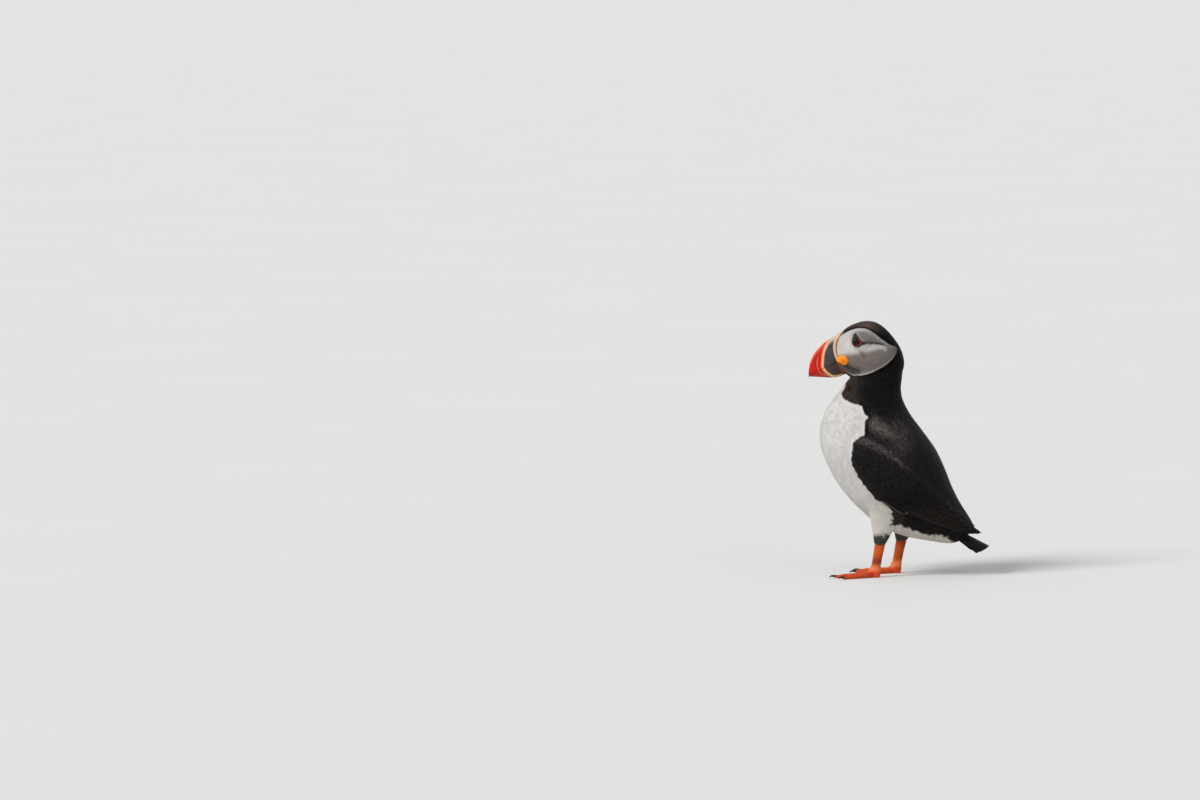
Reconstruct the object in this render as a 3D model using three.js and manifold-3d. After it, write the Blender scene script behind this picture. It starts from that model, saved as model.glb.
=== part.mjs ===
// A life-size Atlantic puffin standing upright on both feet, as a museum model.
// Millimetres, +Z up. The bird faces -X, and its left side is towards -Y.
// While it is built, x is measured from the back of the neck and z from the floor. At the end the
// whole group is moved so that the origin lies on the floor under the middle of the bird's box.
import * as THREE from "three";
import { mergeVertices } from "three/addons/utils/BufferGeometryUtils.js";
import Module from "manifold-3d";

const wasm = await Module();
wasm.setup();

// ---------------------------------------------------------------- driving dimensions

const GAP = 0.35; // clearance between neighbouring pieces
const LEFT = -1; // the side of y that the bird's left lies on
const RIGHT = 1;

// Cross-sections of neck and trunk, from inside the head down to the root of the tail.
// Each row: the point on the back (x, z), the point on the throat, breast or belly (x, z), half width.
const TRUNK_SECTIONS = [
  [-5, 204, -39, 192, 15],
  [1.5, 194, -44, 182, 20],
  [1, 179, -49, 174, 22],
  [0, 166.5, -56, 165.5, 24],
  [2.5, 156.5, -64, 155, 30],
  [9.5, 144, -71, 140.5, 37.5],
  [20.5, 129.5, -73, 121.5, 43.5],
  [32, 113.5, -66.5, 101, 45],
  [40, 96.5, -56, 82, 43],
  [47, 79, -42.5, 65.5, 38.5],
  [53.5, 66.5, -29, 53, 33],
  [59.5, 57, -12.5, 41.5, 27],
  [64, 50, 4.5, 35, 21],
  [67, 44, 22.5, 31.5, 16],
  [68, 39.5, 37, 29, 11.5],
  [67, 36, 46, 28, 7.5],
];
const TRUNK_ROUNDNESS = 2.15; // 2 is an ellipse, more is squarer
const NECK_TOP = { at: [-49, 0, 177], normal: [0.09, 0, 1] }; // the cut under the head
const NECK_BASE = { at: [-30, 0, 158], normal: [-0.08, 0, 1] }; // the cut above the trunk

// Cross-sections of the head, from the base of the bill to the nape.
// Each row: x, z of the crown, z of the chin, half width.
const HEAD_SECTIONS = [
  [-60, 205, 196, 4],
  [-58, 212, 190, 7.2],
  [-54.5, 218.5, 185.5, 10],
  [-49, 223.5, 181, 13.7],
  [-41.5, 227.3, 178, 17.4],
  [-32.5, 229.5, 175.5, 20.2],
  [-23.5, 228.6, 174.5, 21.4],
  [-14.5, 223, 175.5, 20.8],
  [-6.5, 214, 177.5, 18.2],
  [-0.5, 205, 181, 13.5],
  [2.5, 196, 187, 6],
];
const HEAD_ROUNDNESS = 2.15;
const CHEEK_WEIGHT = 0.13; // how much wider the cheeks are than the crown

// Cross-sections of the bill, from the base to the tip.
// Each row: the point on the ridge (x, z), the point on the edge of the mouth (x, z), half width.
const UPPER_BILL_SECTIONS = [
  [-46, 218, -50, 196.5, 7.6],
  [-52.5, 220.2, -57, 193.4, 7.6],
  [-59, 216.6, -61, 191.7, 7.2],
  [-66, 212.2, -65, 189.9, 6.5],
  [-73, 206.5, -69.5, 187.8, 5.5],
  [-78.8, 199.4, -74, 185.4, 4.3],
  [-82, 192, -77.5, 183.3, 3.1],
  [-83.3, 185, -80.3, 181.5, 1.9],
  [-83.2, 179.9, -81.8, 179.8, 0.8],
];
const LOWER_BILL_SECTIONS = [
  [-44, 196, -43, 184.5, 6.6],
  [-57, 192.7, -50, 182, 7.2],
  [-61, 191, -56, 179.4, 6.7],
  [-65, 189.2, -62, 178.8, 6],
  [-69.5, 187.1, -68, 178.9, 5],
  [-74, 184.7, -73.3, 179.1, 3.8],
  [-77.5, 182.6, -77.3, 179.3, 2.6],
  [-80, 180.9, -80, 179.5, 1.3],
];
const UPPER_RIDGE = 0.36; // width of the bill's ridge as a share of its width at the mouth
const LOWER_RIDGE = 0.55;

const RIDGE_BEND = 1.4; // how late the bill's sides draw in: 1 is straight from the mouth's edge
const RIDGE_SQUARENESS = 16; // how squarely its sides turn over into the ridge

const EYE = { x: -43, z: 211.8, radius: 4.5, proud: 1.5 };
const ROSETTE = { x: -53.6, z: 195, length: 9.4, height: 8.6, depth: 5, tilt: 0.6, turn: 0.45 };

// Cross-sections of the folded wing, from the wrist to the tip of the longest primary.
// Each row: upper edge (x, z), lower edge (x, z), how far the wing bulges out over the body.
const WING_SECTIONS = [
  [-48, 122.5, -49, 115, 0.6],
  [-44, 128, -48.7, 106.8, 3.6],
  [-35.4, 128.3, -43, 94.6, 5.8],
  [-23.7, 119.3, -34, 82.2, 6.4],
  [-8.2, 105.7, -22.6, 69.6, 6],
  [8.4, 92, -8, 60.8, 5.2],
  [24.3, 80, 8, 54, 4.4],
  [38.4, 67.8, 25.2, 47.5, 3.4],
  [50.8, 57.4, 42.4, 42, 2.6],
  [63.3, 46.9, 57.9, 38.8, 1.8],
  [74.7, 38, 73.8, 36.2, 0.8],
];
const WING_TIP_SIDE = 6; // distance of the folded tips from the middle of the back
const WING_DEPTH = 2.6; // how deep a wing's inner face would lie in the body before it is cut
const WING_EDGE = 1; // how far its edges stand off the body

const TAIL = {
  root: [30, 50],
  tip: [80.5, 25],
  rootHalfWidth: 9,
  tipHalfWidth: 15.5,
  arch: 10.5, // how much lower the outer feathers lie than the middle ones, at the tip
  rootArch: 0.4, // the same at the root, as a share of that
  rootThickness: 5.5,
  tipThickness: 1.6,
  edgeThickness: 0.45, // of the sides, as a share of the middle's
  roundness: 0.2, // how much shorter the outer feathers are, as a share of the length
};

// Each leg: the middle of its thigh inside the belly, its ankle and the joint of its toes, as
// (x, y, z) with y outwards from the middle, and how far the foot turns outwards, in degrees.
const LEGS = {
  left: { side: LEFT, thigh: [-14, 17, 63], ankle: [-20.9, 19, 31], joint: [-25.8, 20, 5], turn: 9 },
  right: { side: RIGHT, thigh: [10, 15, 60], ankle: [4, 18, 31], joint: [-1, 19.5, 5], turn: 5 },
};
// Half length fore and aft and half width of each limb at its named places.
const SHANK = { thigh: [19, 13], ankle: [5.6, 4.9], flare: 0.8 };
const TARSUS = { ankle: [4.7, 2.9], middle: [4.3, 2.5], joint: [5.2, 4] };
const FOOT_HEIGHT = 7.5; // the foot's piece ends this high up the leg
const TOES = [
  // angle is outwards from straight ahead, and the inner claw lies on its side
  { name: "inner", angle: -30, length: 23, radius: 2.1, claw: 7, curl: "sideways" },
  { name: "middle", angle: -3, length: 35, radius: 2.3, claw: 6, curl: "down" },
  { name: "outer", angle: 21, length: 34, radius: 2.1, claw: 5.5, curl: "down" },
];
const TOE = {
  joints: 3, // swellings along a toe
  swelling: 0.1,
  radius: [1.25, 0.72], // at its start and end, as a share of the toe's own
  height: [3, 1.1], // of its middle line above the floor, at its start and end
};
const CLAW = {
  height: 1.7,
  radius: [1.35, 0.28],
  slimness: 0.85, // width as a share of height
  bend: 1.35, // how far round it curves, in radians
  rise: 0.7, // of a claw that curls down
  hook: 1.2, // how far its tip ends below its root
  swing: 3.2, // how far the tip of the inner claw lies off the toe's line
};
const WEB = { floor: 0.4, thickness: 1.3, scallop: 0.16 };

const COLOURS = {
  black: [0x16161a, 0.75],
  face: [0xcfcdcb, 0.8],
  mantle: [0x1a1a1f, 0.7],
  wing: [0x1c1a1c, 0.7],
  thigh: [0xd8d4cc, 0.85],
  billUpper: [0xd8401c, 0.45],
  billLower: [0xc9481f, 0.45],
  gape: [0xf08a0c, 0.5],
  leg: [0xe0531a, 0.5],
  claw: [0x1b1a1a, 0.4],
  eye: [0x1d1512, 0.1],
};

// ---------------------------------------------------------------- solids

const point = (x, y, z) => new THREE.Vector3(x, y, z);
const UP = point(0, 0, 1);
const DOWN = point(0, 0, -1);
const lerp = THREE.MathUtils.lerp;
const radians = THREE.MathUtils.degToRad;

// A three.js geometry as a manifold-3d solid.
function solidOf(geometry) {
  const bare = geometry.clone();
  bare.deleteAttribute("normal");
  bare.deleteAttribute("uv");
  const merged = mergeVertices(bare, 1e-4);
  return new wasm.Manifold(
    new wasm.Mesh({
      numProp: 3,
      vertProperties: merged.attributes.position.array,
      triVerts: new Uint32Array(merged.index.array),
    }),
  );
}

// A manifold-3d solid as a three.js geometry.
function geometryOf(solid) {
  const mesh = solid.getMesh();
  const geometry = new THREE.BufferGeometry();
  const places = new Float32Array((mesh.vertProperties.length / mesh.numProp) * 3);
  for (let i = 0; i < places.length / 3; i++) {
    for (let k = 0; k < 3; k++) places[3 * i + k] = mesh.vertProperties[mesh.numProp * i + k];
  }
  geometry.setAttribute("position", new THREE.BufferAttribute(places, 3));
  geometry.setIndex(new THREE.BufferAttribute(new Uint32Array(mesh.triVerts), 1));
  geometry.computeVertexNormals();
  return geometry;
}

// A closed solid through rings of equally many points, each end closed to the ring's middle.
function loft(rings) {
  const count = rings[0].length;
  const middles = [rings[0], rings.at(-1)].map((ring) =>
    ring.reduce((sum, p) => sum.add(p), point(0, 0, 0)).divideScalar(count),
  );
  const places = [...rings.flat(), ...middles].flatMap((p) => [p.x, p.y, p.z]);
  const faces = [];
  for (let row = 0; row < rings.length - 1; row++) {
    for (let i = 0; i < count; i++) {
      const a = row * count + i;
      const b = row * count + ((i + 1) % count);
      faces.push(a, b, a + count, b, b + count, a + count);
    }
  }
  const first = rings.length * count;
  const last = (rings.length - 1) * count;
  for (let i = 0; i < count; i++) {
    const next = (i + 1) % count;
    faces.push(first, next, i, first + 1, last + i, last + next);
  }
  const geometry = new THREE.BufferGeometry();
  geometry.setAttribute("position", new THREE.Float32BufferAttribute(places, 3));
  geometry.setIndex(faces);
  const solid = solidOf(geometry);
  if (solid.volume() > 0) return solid;
  geometry.setIndex(faces.map((_, i) => faces[3 * Math.floor(i / 3) + (2 - (i % 3))]));
  return solidOf(geometry);
}

// Smooth curves through the columns of a table of sections: at(t) gives a row, for t from 0 to 1.
function smoothTable(rows) {
  const curveOf = (a, b, c) =>
    new THREE.CatmullRomCurve3(rows.map((r) => point(r[a], r[b] ?? 0, r[c] ?? 0)));
  const first = curveOf(0, 1, 4);
  const second = curveOf(2, 3, 4);
  return (t) => {
    const p = first.getPoint(t);
    const q = second.getPoint(t);
    return [p.x, p.y, q.x, q.y, p.z];
  };
}

// The t from 0 to 1 at which isBefore(t) turns false.
function turningPoint(isBefore) {
  const halvings = 30;
  let low = 0;
  let high = 1;
  for (let i = 0; i < halvings; i++) {
    const middle = (low + high) / 2;
    if (isBefore(middle)) low = middle;
    else high = middle;
  }
  return low;
}

// A point of a rounded cross-section at an angle, each way from -1 to 1.
function roundSection(angle, roundness) {
  const bend = (v) => Math.sign(v) * Math.abs(v) ** (2 / roundness);
  return [bend(Math.cos(angle)), bend(Math.sin(angle))];
}

// ---------------------------------------------------------------- neck and trunk

const trunkAt = smoothTable(TRUNK_SECTIONS);

function trunkRing(t, grow, count) {
  const [backX, backZ, frontX, frontZ, width] = trunkAt(t);
  const middle = point((backX + frontX) / 2, 0, (backZ + frontZ) / 2);
  const up = point(backX - frontX, 0, backZ - frontZ);
  const depth = up.length() / 2 + grow;
  up.normalize();
  return Array.from({ length: count }, (_, i) => {
    const [u, w] = roundSection((2 * Math.PI * i) / count, TRUNK_ROUNDNESS);
    return point(middle.x + up.x * depth * u, (width + grow) * w, middle.z + up.z * depth * u);
  });
}

function trunkSolid(grow = 0) {
  const rows = 26;
  const sides = 30;
  return loft(Array.from({ length: rows + 1 }, (_, i) => trunkRing(i / rows, grow, sides)));
}

// Half the trunk's width where a line along y passes through (x, z), or 0 outside it.
function trunkSide(x, z) {
  const isAbove = (t) => {
    const [backX, backZ, frontX, frontZ] = trunkAt(t);
    return (backX - frontX) * (z - frontZ) - (backZ - frontZ) * (x - frontX) < 0;
  };
  const [backX, backZ, frontX, frontZ, width] = trunkAt(turningPoint(isAbove));
  const depth = Math.hypot(backX - frontX, backZ - frontZ) / 2;
  const off = Math.hypot(x - (backX + frontX) / 2, z - (backZ + frontZ) / 2) / depth;
  return width * Math.max(0, 1 - off ** TRUNK_ROUNDNESS) ** (1 / TRUNK_ROUNDNESS);
}

// ---------------------------------------------------------------- head

const headAt = smoothTable(HEAD_SECTIONS.map(([x, top, low, width]) => [x, top, x, low, width]));

function headSolid(grow = 0) {
  const rows = 15;
  const sides = 24;
  const rings = Array.from({ length: rows + 1 }, (_, i) => {
    const [x, top, , low, width] = headAt(i / rows);
    return Array.from({ length: sides }, (_, k) => {
      const [u, w] = roundSection((2 * Math.PI * k) / sides, HEAD_ROUNDNESS);
      const y = (width + grow) * w * (1 - CHEEK_WEIGHT * u);
      const z = (top + low) / 2 + ((top - low) / 2 + grow) * u;
      return point(x + grow * ((2 * i) / rows - 1), y, z);
    });
  });
  return loft(rings);
}

// Half the head's width at (x, z).
function headSide(x, z) {
  const [, top, , bottom, width] = headAt(turningPoint((t) => headAt(t)[0] < x));
  const u = (2 * z - top - bottom) / (top - bottom);
  const inside = Math.max(0, 1 - Math.abs(u) ** HEAD_ROUNDNESS) ** (1 / HEAD_ROUNDNESS);
  return width * inside * (1 - CHEEK_WEIGHT * u);
}

// ---------------------------------------------------------------- bill, eyes, gape rosettes

// One half of the bill: flat where the halves meet, drawn in to a rounded ridge away from there.
function billSolid(sections, ridge, ridgeFirst) {
  const table = smoothTable(sections);
  const rows = 14;
  const heights = [0, 0.2, 0.42, 0.64, 0.82, 0.93, 1];
  const breadth = (h) => lerp(1, ridge, h ** RIDGE_BEND) * Math.sqrt(1 - h ** RIDGE_SQUARENESS);
  const rings = Array.from({ length: rows + 1 }, (_, i) => {
    const row = table(i / rows);
    const far = ridgeFirst ? [row[0], row[1]] : [row[2], row[3]];
    const near = ridgeFirst ? [row[2], row[3]] : [row[0], row[1]];
    const at = (h, side) =>
      point(lerp(near[0], far[0], h), side * row[4] * breadth(h), lerp(near[1], far[1], h));
    const oneSide = heights.map((h) => at(h, 1));
    const otherSide = heights.slice(0, -1).reverse().map((h) => at(h, -1));
    return [...oneSide, ...otherSide];
  });
  return loft(rings);
}

function ball(centre, radii, segments, turn = new THREE.Quaternion()) {
  const geometry = new THREE.SphereGeometry(1, segments, Math.round(segments * 0.6));
  geometry.scale(...radii);
  geometry.applyQuaternion(turn);
  geometry.translate(centre.x, centre.y, centre.z);
  return solidOf(geometry);
}

function eyeBall(side, grow = 0) {
  const radius = EYE.radius + grow;
  const out = headSide(EYE.x, EYE.z) - EYE.radius + EYE.proud;
  return ball(point(EYE.x, side * out, EYE.z), [radius, radius, radius], 12);
}

function rosetteSolid(side, grow = 0) {
  const centre = point(ROSETTE.x, side * headSide(ROSETTE.x, ROSETTE.z), ROSETTE.z);
  const radii = [ROSETTE.length / 2, ROSETTE.depth / 2, ROSETTE.height / 2].map((r) => r + grow);
  const turn = new THREE.Euler(0, ROSETTE.tilt, -side * ROSETTE.turn, "ZYX");
  return ball(centre, radii, 10, new THREE.Quaternion().setFromEuler(turn));
}

// ---------------------------------------------------------------- wings

function wingSolid(side) {
  const table = smoothTable(WING_SECTIONS);
  const rows = 16;
  const across = 6;
  const rings = Array.from({ length: rows + 1 }, (_, i) => {
    const [upperX, upperZ, lowerX, lowerZ, bulge] = table(i / rows);
    const outer = [];
    const inner = [];
    for (let k = 0; k <= across; k++) {
      const v = (2 * k) / across - 1;
      const x = lerp(upperX, lowerX, k / across);
      const z = lerp(upperZ, lowerZ, k / across);
      const body = Math.hypot(trunkSide(x, z), WING_TIP_SIDE);
      outer.push(point(x, side * (body + WING_EDGE + bulge * Math.sqrt(1 - v * v)), z));
      inner.unshift(point(x, side * (body - WING_DEPTH), z));
    }
    return [...outer, ...inner];
  });
  return loft(rings);
}

// ---------------------------------------------------------------- tail

function tailSolid(grow = 0) {
  const rows = 8;
  const across = 10;
  const rings = Array.from({ length: rows + 1 }, (_, i) => {
    const t = i / rows;
    const halfWidth = lerp(TAIL.rootHalfWidth, TAIL.tipHalfWidth, t) + grow;
    const thickness = lerp(TAIL.rootThickness, TAIL.tipThickness, t) + 2 * grow;
    const top = [];
    const bottom = [];
    for (let k = 0; k <= across; k++) {
      const v = (2 * k) / across - 1;
      const along = t * (1 - TAIL.roundness * v ** 2 * t);
      const x = lerp(TAIL.root[0], TAIL.tip[0], along);
      const drop = TAIL.arch * lerp(TAIL.rootArch, 1, t) * v ** 2;
      const z = lerp(TAIL.root[1], TAIL.tip[1], along) - drop;
      const half = (thickness / 2) * lerp(TAIL.edgeThickness, 1, Math.sqrt(1 - v ** 4));
      top.push(point(x, halfWidth * v, z + half));
      bottom.unshift(point(x, halfWidth * v, z - half));
    }
    return [...top, ...bottom];
  });
  return loft(rings);
}

// ---------------------------------------------------------------- legs and feet

// A tapering limb through stations {at, radii: [fore and aft, sideways]}, with level sections.
function limb(stations, sides) {
  const rings = stations.map(({ at, radii }) =>
    Array.from({ length: sides }, (_, i) => {
      const angle = (2 * Math.PI * i) / sides;
      return point(at.x + radii[0] * Math.cos(angle), at.y + radii[1] * Math.sin(angle), at.z);
    }),
  );
  return loft(rings);
}

const placeOn = (leg, part) => point(leg[part][0], leg.side * leg[part][1], leg[part][2]);

// The feathered shank, which flares into the thigh inside the belly.
function shankSolid(leg) {
  const steps = 6;
  const stations = Array.from({ length: steps + 1 }, (_, i) => {
    const t = i / steps;
    const flare = t ** SHANK.flare;
    return {
      at: placeOn(leg, "thigh").lerp(placeOn(leg, "ankle"), t),
      radii: [0, 1].map((k) => lerp(SHANK.thigh[k], SHANK.ankle[k], flare)),
    };
  });
  return limb(stations, 16);
}

// The bare leg from inside the shank's end down to the sole.
function tarsusSolid(leg) {
  const joint = placeOn(leg, "joint");
  const top = placeOn(leg, "ankle").lerp(placeOn(leg, "thigh"), 0.1);
  const down = (share) => top.clone().lerp(joint, share);
  const sole = (height) => point(joint.x - 0.3, joint.y, height);
  return limb([
    { at: top, radii: TARSUS.ankle },
    { at: down(0.25), radii: TARSUS.ankle },
    { at: down(0.55), radii: TARSUS.middle },
    { at: down(0.8), radii: TARSUS.middle },
    { at: joint, radii: TARSUS.joint },
    { at: sole(0.8), radii: TARSUS.joint.map((r) => r * 0.97) },
    { at: sole(0), radii: TARSUS.joint.map((r) => r * 0.88) },
  ], 12);
}

// Along a toe: forwards is -X, turned outwards by the toe's angle and the foot's turn.
function toeAxis(leg, toe) {
  const angle = radians(toe.angle + leg.turn);
  return point(-Math.cos(angle), leg.side * Math.sin(angle), 0);
}

// The place on the floor, under the joint, from which the toes spread.
function toeStart(leg) {
  return placeOn(leg, "joint").add(point(-1, 0, -leg.joint[2]));
}

// A ring round a toe or claw that runs level along axis.
function toeRing(centre, axis, halfWidth, halfHeight, sides) {
  return Array.from({ length: sides }, (_, i) => {
    const angle = (2 * Math.PI * i) / sides;
    return centre
      .clone()
      .addScaledVector(point(-axis.y, axis.x, 0), halfWidth * Math.cos(angle))
      .addScaledVector(UP, halfHeight * Math.sin(angle));
  });
}

function toeSolid(leg, toe) {
  const axis = toeAxis(leg, toe);
  const start = toeStart(leg);
  const steps = 8;
  const rings = Array.from({ length: steps + 1 }, (_, i) => {
    const t = i / steps;
    const swelling = 1 + TOE.swelling * Math.cos(2 * Math.PI * TOE.joints * t);
    const radius = toe.radius * lerp(...TOE.radius, t) * swelling;
    const centre = start.clone().addScaledVector(axis, toe.length * t).setZ(lerp(...TOE.height, t));
    return toeRing(centre, axis, radius, radius, 8);
  });
  return loft(rings);
}

function clawSolid(leg, toe) {
  const axis = toeAxis(leg, toe);
  const sideways = point(-axis.y, axis.x, 0).multiplyScalar(leg.side);
  const start = toeStart(leg).addScaledVector(axis, toe.length + GAP).setZ(CLAW.height);
  const steps = 5;
  const rings = Array.from({ length: steps + 1 }, (_, i) => {
    const t = i / steps;
    const centre = start.clone().addScaledVector(axis, toe.claw * Math.sin(t * CLAW.bend));
    if (toe.curl === "sideways") centre.addScaledVector(sideways, CLAW.swing * t ** 2);
    else centre.z += CLAW.rise * Math.sin(Math.PI * t) - CLAW.hook * t ** 2;
    const radius = lerp(...CLAW.radius, t);
    return toeRing(centre, axis, radius * CLAW.slimness, radius, 6);
  });
  return loft(rings);
}

// The skin between the toes, with a scalloped front edge.
function webSolid(leg) {
  const start = toeStart(leg);
  const ends = TOES.map((toe) => start.clone().addScaledVector(toeAxis(leg, toe), toe.length * 0.96));
  const outline = new THREE.Shape();
  outline.moveTo(start.x + 2, start.y);
  outline.lineTo(ends[0].x, ends[0].y);
  for (let i = 1; i < ends.length; i++) {
    const hollow = ends[i - 1].clone().lerp(ends[i], 0.5).lerp(start, WEB.scallop);
    outline.quadraticCurveTo(hollow.x, hollow.y, ends[i].x, ends[i].y);
  }
  outline.closePath();
  const geometry = new THREE.ExtrudeGeometry(outline, {
    depth: WEB.thickness,
    bevelEnabled: false,
    curveSegments: 5,
  });
  geometry.translate(0, 0, WEB.floor);
  return solidOf(geometry);
}

// ---------------------------------------------------------------- cutting

// All space on one side of a plane through place, at least half a gap away from it.
function halfSpace(place, normal) {
  const size = 600;
  const geometry = new THREE.BoxGeometry(size, size, size);
  const turn = new THREE.Quaternion().setFromUnitVectors(UP, normal.clone().normalize());
  geometry.translate(0, 0, size / 2 + GAP / 2);
  geometry.applyQuaternion(turn);
  geometry.translate(place.x, place.y, place.z);
  return solidOf(geometry);
}

const aboveFloor = halfSpace(point(0, 0, -GAP / 2), UP);

// ---------------------------------------------------------------- the bird

const puffin = new THREE.Group();

function addPiece(name, solid, [colour, roughness]) {
  const material = new THREE.MeshStandardMaterial({ color: colour, roughness, metalness: 0 });
  const mesh = new THREE.Mesh(geometryOf(solid), material);
  mesh.name = name;
  puffin.add(mesh);
}

const crownToTail = headSolid().add(trunkSolid());
const faceHoles = [LEFT, RIGHT].flatMap((side) => [eyeBall(side, GAP), rosetteSolid(side, GAP)]);
const above = ({ at, normal }) => halfSpace(point(...at), point(...normal));
const below = ({ at, normal }) => halfSpace(point(...at), point(...normal).negate());

let head = crownToTail.intersect(above(NECK_TOP));
for (const hole of faceHoles) head = head.subtract(hole);
addPiece("head", head, COLOURS.face);
addPiece("neck", crownToTail.intersect(below(NECK_TOP)).intersect(above(NECK_BASE)), COLOURS.black);
addPiece("trunk", crownToTail.intersect(below(NECK_BASE)), COLOURS.mantle);

const grownTrunk = trunkSolid(GAP);
const grownRosettes = rosetteSolid(LEFT, GAP).add(rosetteSolid(RIGHT, GAP));
const grownFace = headSolid(GAP).add(grownTrunk).add(grownRosettes);
const upperBill = billSolid(UPPER_BILL_SECTIONS, UPPER_RIDGE, true);
const lowerBill = billSolid(LOWER_BILL_SECTIONS, LOWER_RIDGE, false);
addPiece("bill_upper", upperBill.subtract(grownFace), COLOURS.billUpper);
addPiece("bill_lower", lowerBill.subtract(grownFace), COLOURS.billLower);

const grownTail = tailSolid(GAP);
addPiece("tail", tailSolid().subtract(grownTrunk), COLOURS.black);

for (const [name, leg] of Object.entries(LEGS)) {
  const { side } = leg;
  addPiece(`eye_${name}`, eyeBall(side), COLOURS.eye);
  addPiece(`rosette_${name}`, rosetteSolid(side), COLOURS.gape);
  addPiece(`wing_${name}`, wingSolid(side).subtract(grownTrunk).subtract(grownTail), COLOURS.wing);

  const bareLeg = tarsusSolid(leg);
  const ankle = placeOn(leg, "ankle");
  const shank = shankSolid(leg).add(bareLeg).intersect(halfSpace(ankle, UP));
  addPiece(`shank_${name}`, shank.subtract(grownTrunk), COLOURS.thigh);

  const top = point(0, 0, FOOT_HEIGHT);
  const tarsus = bareLeg.intersect(halfSpace(ankle, DOWN)).intersect(halfSpace(top, UP));
  addPiece(`tarsus_${name}`, tarsus, COLOURS.leg);

  let foot = bareLeg.add(webSolid(leg));
  for (const toe of TOES) foot = foot.add(toeSolid(leg, toe));
  addPiece(`foot_${name}`, foot.intersect(halfSpace(top, DOWN)).intersect(aboveFloor), COLOURS.leg);
  for (const toe of TOES) {
    addPiece(`claw_${toe.name}_${name}`, clawSolid(leg, toe).intersect(aboveFloor), COLOURS.claw);
  }
}

const box = new THREE.Box3().setFromObject(puffin);
const middle = box.getCenter(point(0, 0, 0));
puffin.position.set(-middle.x, -middle.y, -box.min.z);

export default puffin;
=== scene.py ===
"""An Atlantic puffin, life size, dressed in skin, horn and feathers over its solid frame.

Lengths are in millimetres and turn into metres where a mesh is made. The bird faces -X, its left
side is towards -Y, and z is measured from the floor. Markings and outlines are drawn in side view,
as (x, z), and hold on both sides.
"""

import math

import bpy
import numpy as np
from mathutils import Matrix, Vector
from mathutils.bvhtree import BVHTree
from mathutils.kdtree import KDTree


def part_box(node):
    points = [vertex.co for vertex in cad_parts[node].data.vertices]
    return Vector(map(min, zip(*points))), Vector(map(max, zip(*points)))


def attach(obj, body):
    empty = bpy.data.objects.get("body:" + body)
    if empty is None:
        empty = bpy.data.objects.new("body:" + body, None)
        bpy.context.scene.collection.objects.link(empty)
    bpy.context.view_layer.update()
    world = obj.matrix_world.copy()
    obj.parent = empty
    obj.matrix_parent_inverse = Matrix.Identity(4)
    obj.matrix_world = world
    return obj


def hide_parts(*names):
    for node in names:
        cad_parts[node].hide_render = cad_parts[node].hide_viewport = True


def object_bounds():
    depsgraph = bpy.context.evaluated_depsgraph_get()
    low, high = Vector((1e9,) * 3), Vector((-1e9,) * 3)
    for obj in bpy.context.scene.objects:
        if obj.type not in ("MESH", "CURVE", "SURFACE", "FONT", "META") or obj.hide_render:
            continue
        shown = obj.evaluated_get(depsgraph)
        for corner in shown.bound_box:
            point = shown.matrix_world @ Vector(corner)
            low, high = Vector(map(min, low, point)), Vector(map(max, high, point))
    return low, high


MM = 0.001
LEFT, RIGHT = -1, 1
SIDES = {"left": LEFT, "right": RIGHT}
rng = np.random.default_rng(1366)

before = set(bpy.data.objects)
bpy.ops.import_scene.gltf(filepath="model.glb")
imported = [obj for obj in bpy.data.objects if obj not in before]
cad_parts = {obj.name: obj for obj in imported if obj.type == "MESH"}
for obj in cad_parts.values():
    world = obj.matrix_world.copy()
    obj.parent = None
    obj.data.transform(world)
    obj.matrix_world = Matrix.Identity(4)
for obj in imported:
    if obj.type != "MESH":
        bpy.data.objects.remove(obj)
cad_box = [list(corner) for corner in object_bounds()]


# ------------------------------------------------------------------ small tools


def srgb(red, green, blue):
    """A colour as it is seen, 0 to 255, in the linear numbers that shaders use."""
    c = np.array([red, green, blue]) / 255
    return np.where(c <= 0.04045, c / 12.92, ((c + 0.055) / 1.055) ** 2.4)


def box_mm(node):
    low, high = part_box(node)
    return np.array(low) / MM, np.array(high) / MM


def middle_of(node):
    low, high = box_mm(node)
    return (low + high) / 2


def unit(v):
    return v / np.maximum(np.linalg.norm(v, axis=-1, keepdims=True), 1e-9)


def lerp(a, b, t):
    return a + (b - a) * t


def smooth(start, stop, v):
    """0 before start, 1 past stop and a soft step between them, whichever of them is larger."""
    t = np.clip((v - start) / (stop - start), 0, 1)
    return t * t * (3 - 2 * t)


def bump_of(distance, width):
    """A rounded bump, 1 at distance 0 and nearly gone at twice the width."""
    return np.exp(-((distance / width) ** 2))


def blend(a, b, share):
    """Colours or directions between a and b, with one share for each row."""
    return a + (b - a) * np.asarray(share)[..., None]


def uneven(places, scale, seed, middle, reach):
    """A share round middle, up to reach more or less, changing over about scale, kept from 0 to 1."""
    return np.clip(middle + reach * wobble(places, scale, seed), 0, 1)


def wobble(places, scale, seed):
    """Smooth irregularity from -1 to 1, with features about scale across."""
    waves = np.random.default_rng(seed)
    total = np.zeros(len(places))
    for _ in range(7):
        turn = unit(waves.normal(size=3)) * waves.uniform(1.6, 4.2) / scale
        total += np.sin(places @ turn + waves.uniform(0, 6.28))
    return total / 4.5


def through(points, count, closed=False):
    """A smooth curve through points, as count points evenly spread over its spans."""
    p = np.asarray(points, float)
    spans = len(p) if closed else len(p) - 1
    at = np.linspace(0, spans, count, endpoint=not closed)
    span = np.minimum(at.astype(int), spans - 1)
    t = (at - span)[:, None]
    if closed:
        a, b, c, d = (p[(span + k) % len(p)] for k in (-1, 0, 1, 2))
    else:
        a, b, c, d = (p[np.clip(span + k, 0, len(p) - 1)] for k in (-1, 0, 1, 2))
    return 0.5 * (2 * b + (c - a) * t + (2 * a - 5 * b + 4 * c - d) * t**2 + (3 * b - a - 3 * c + d) * t**3)


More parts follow.
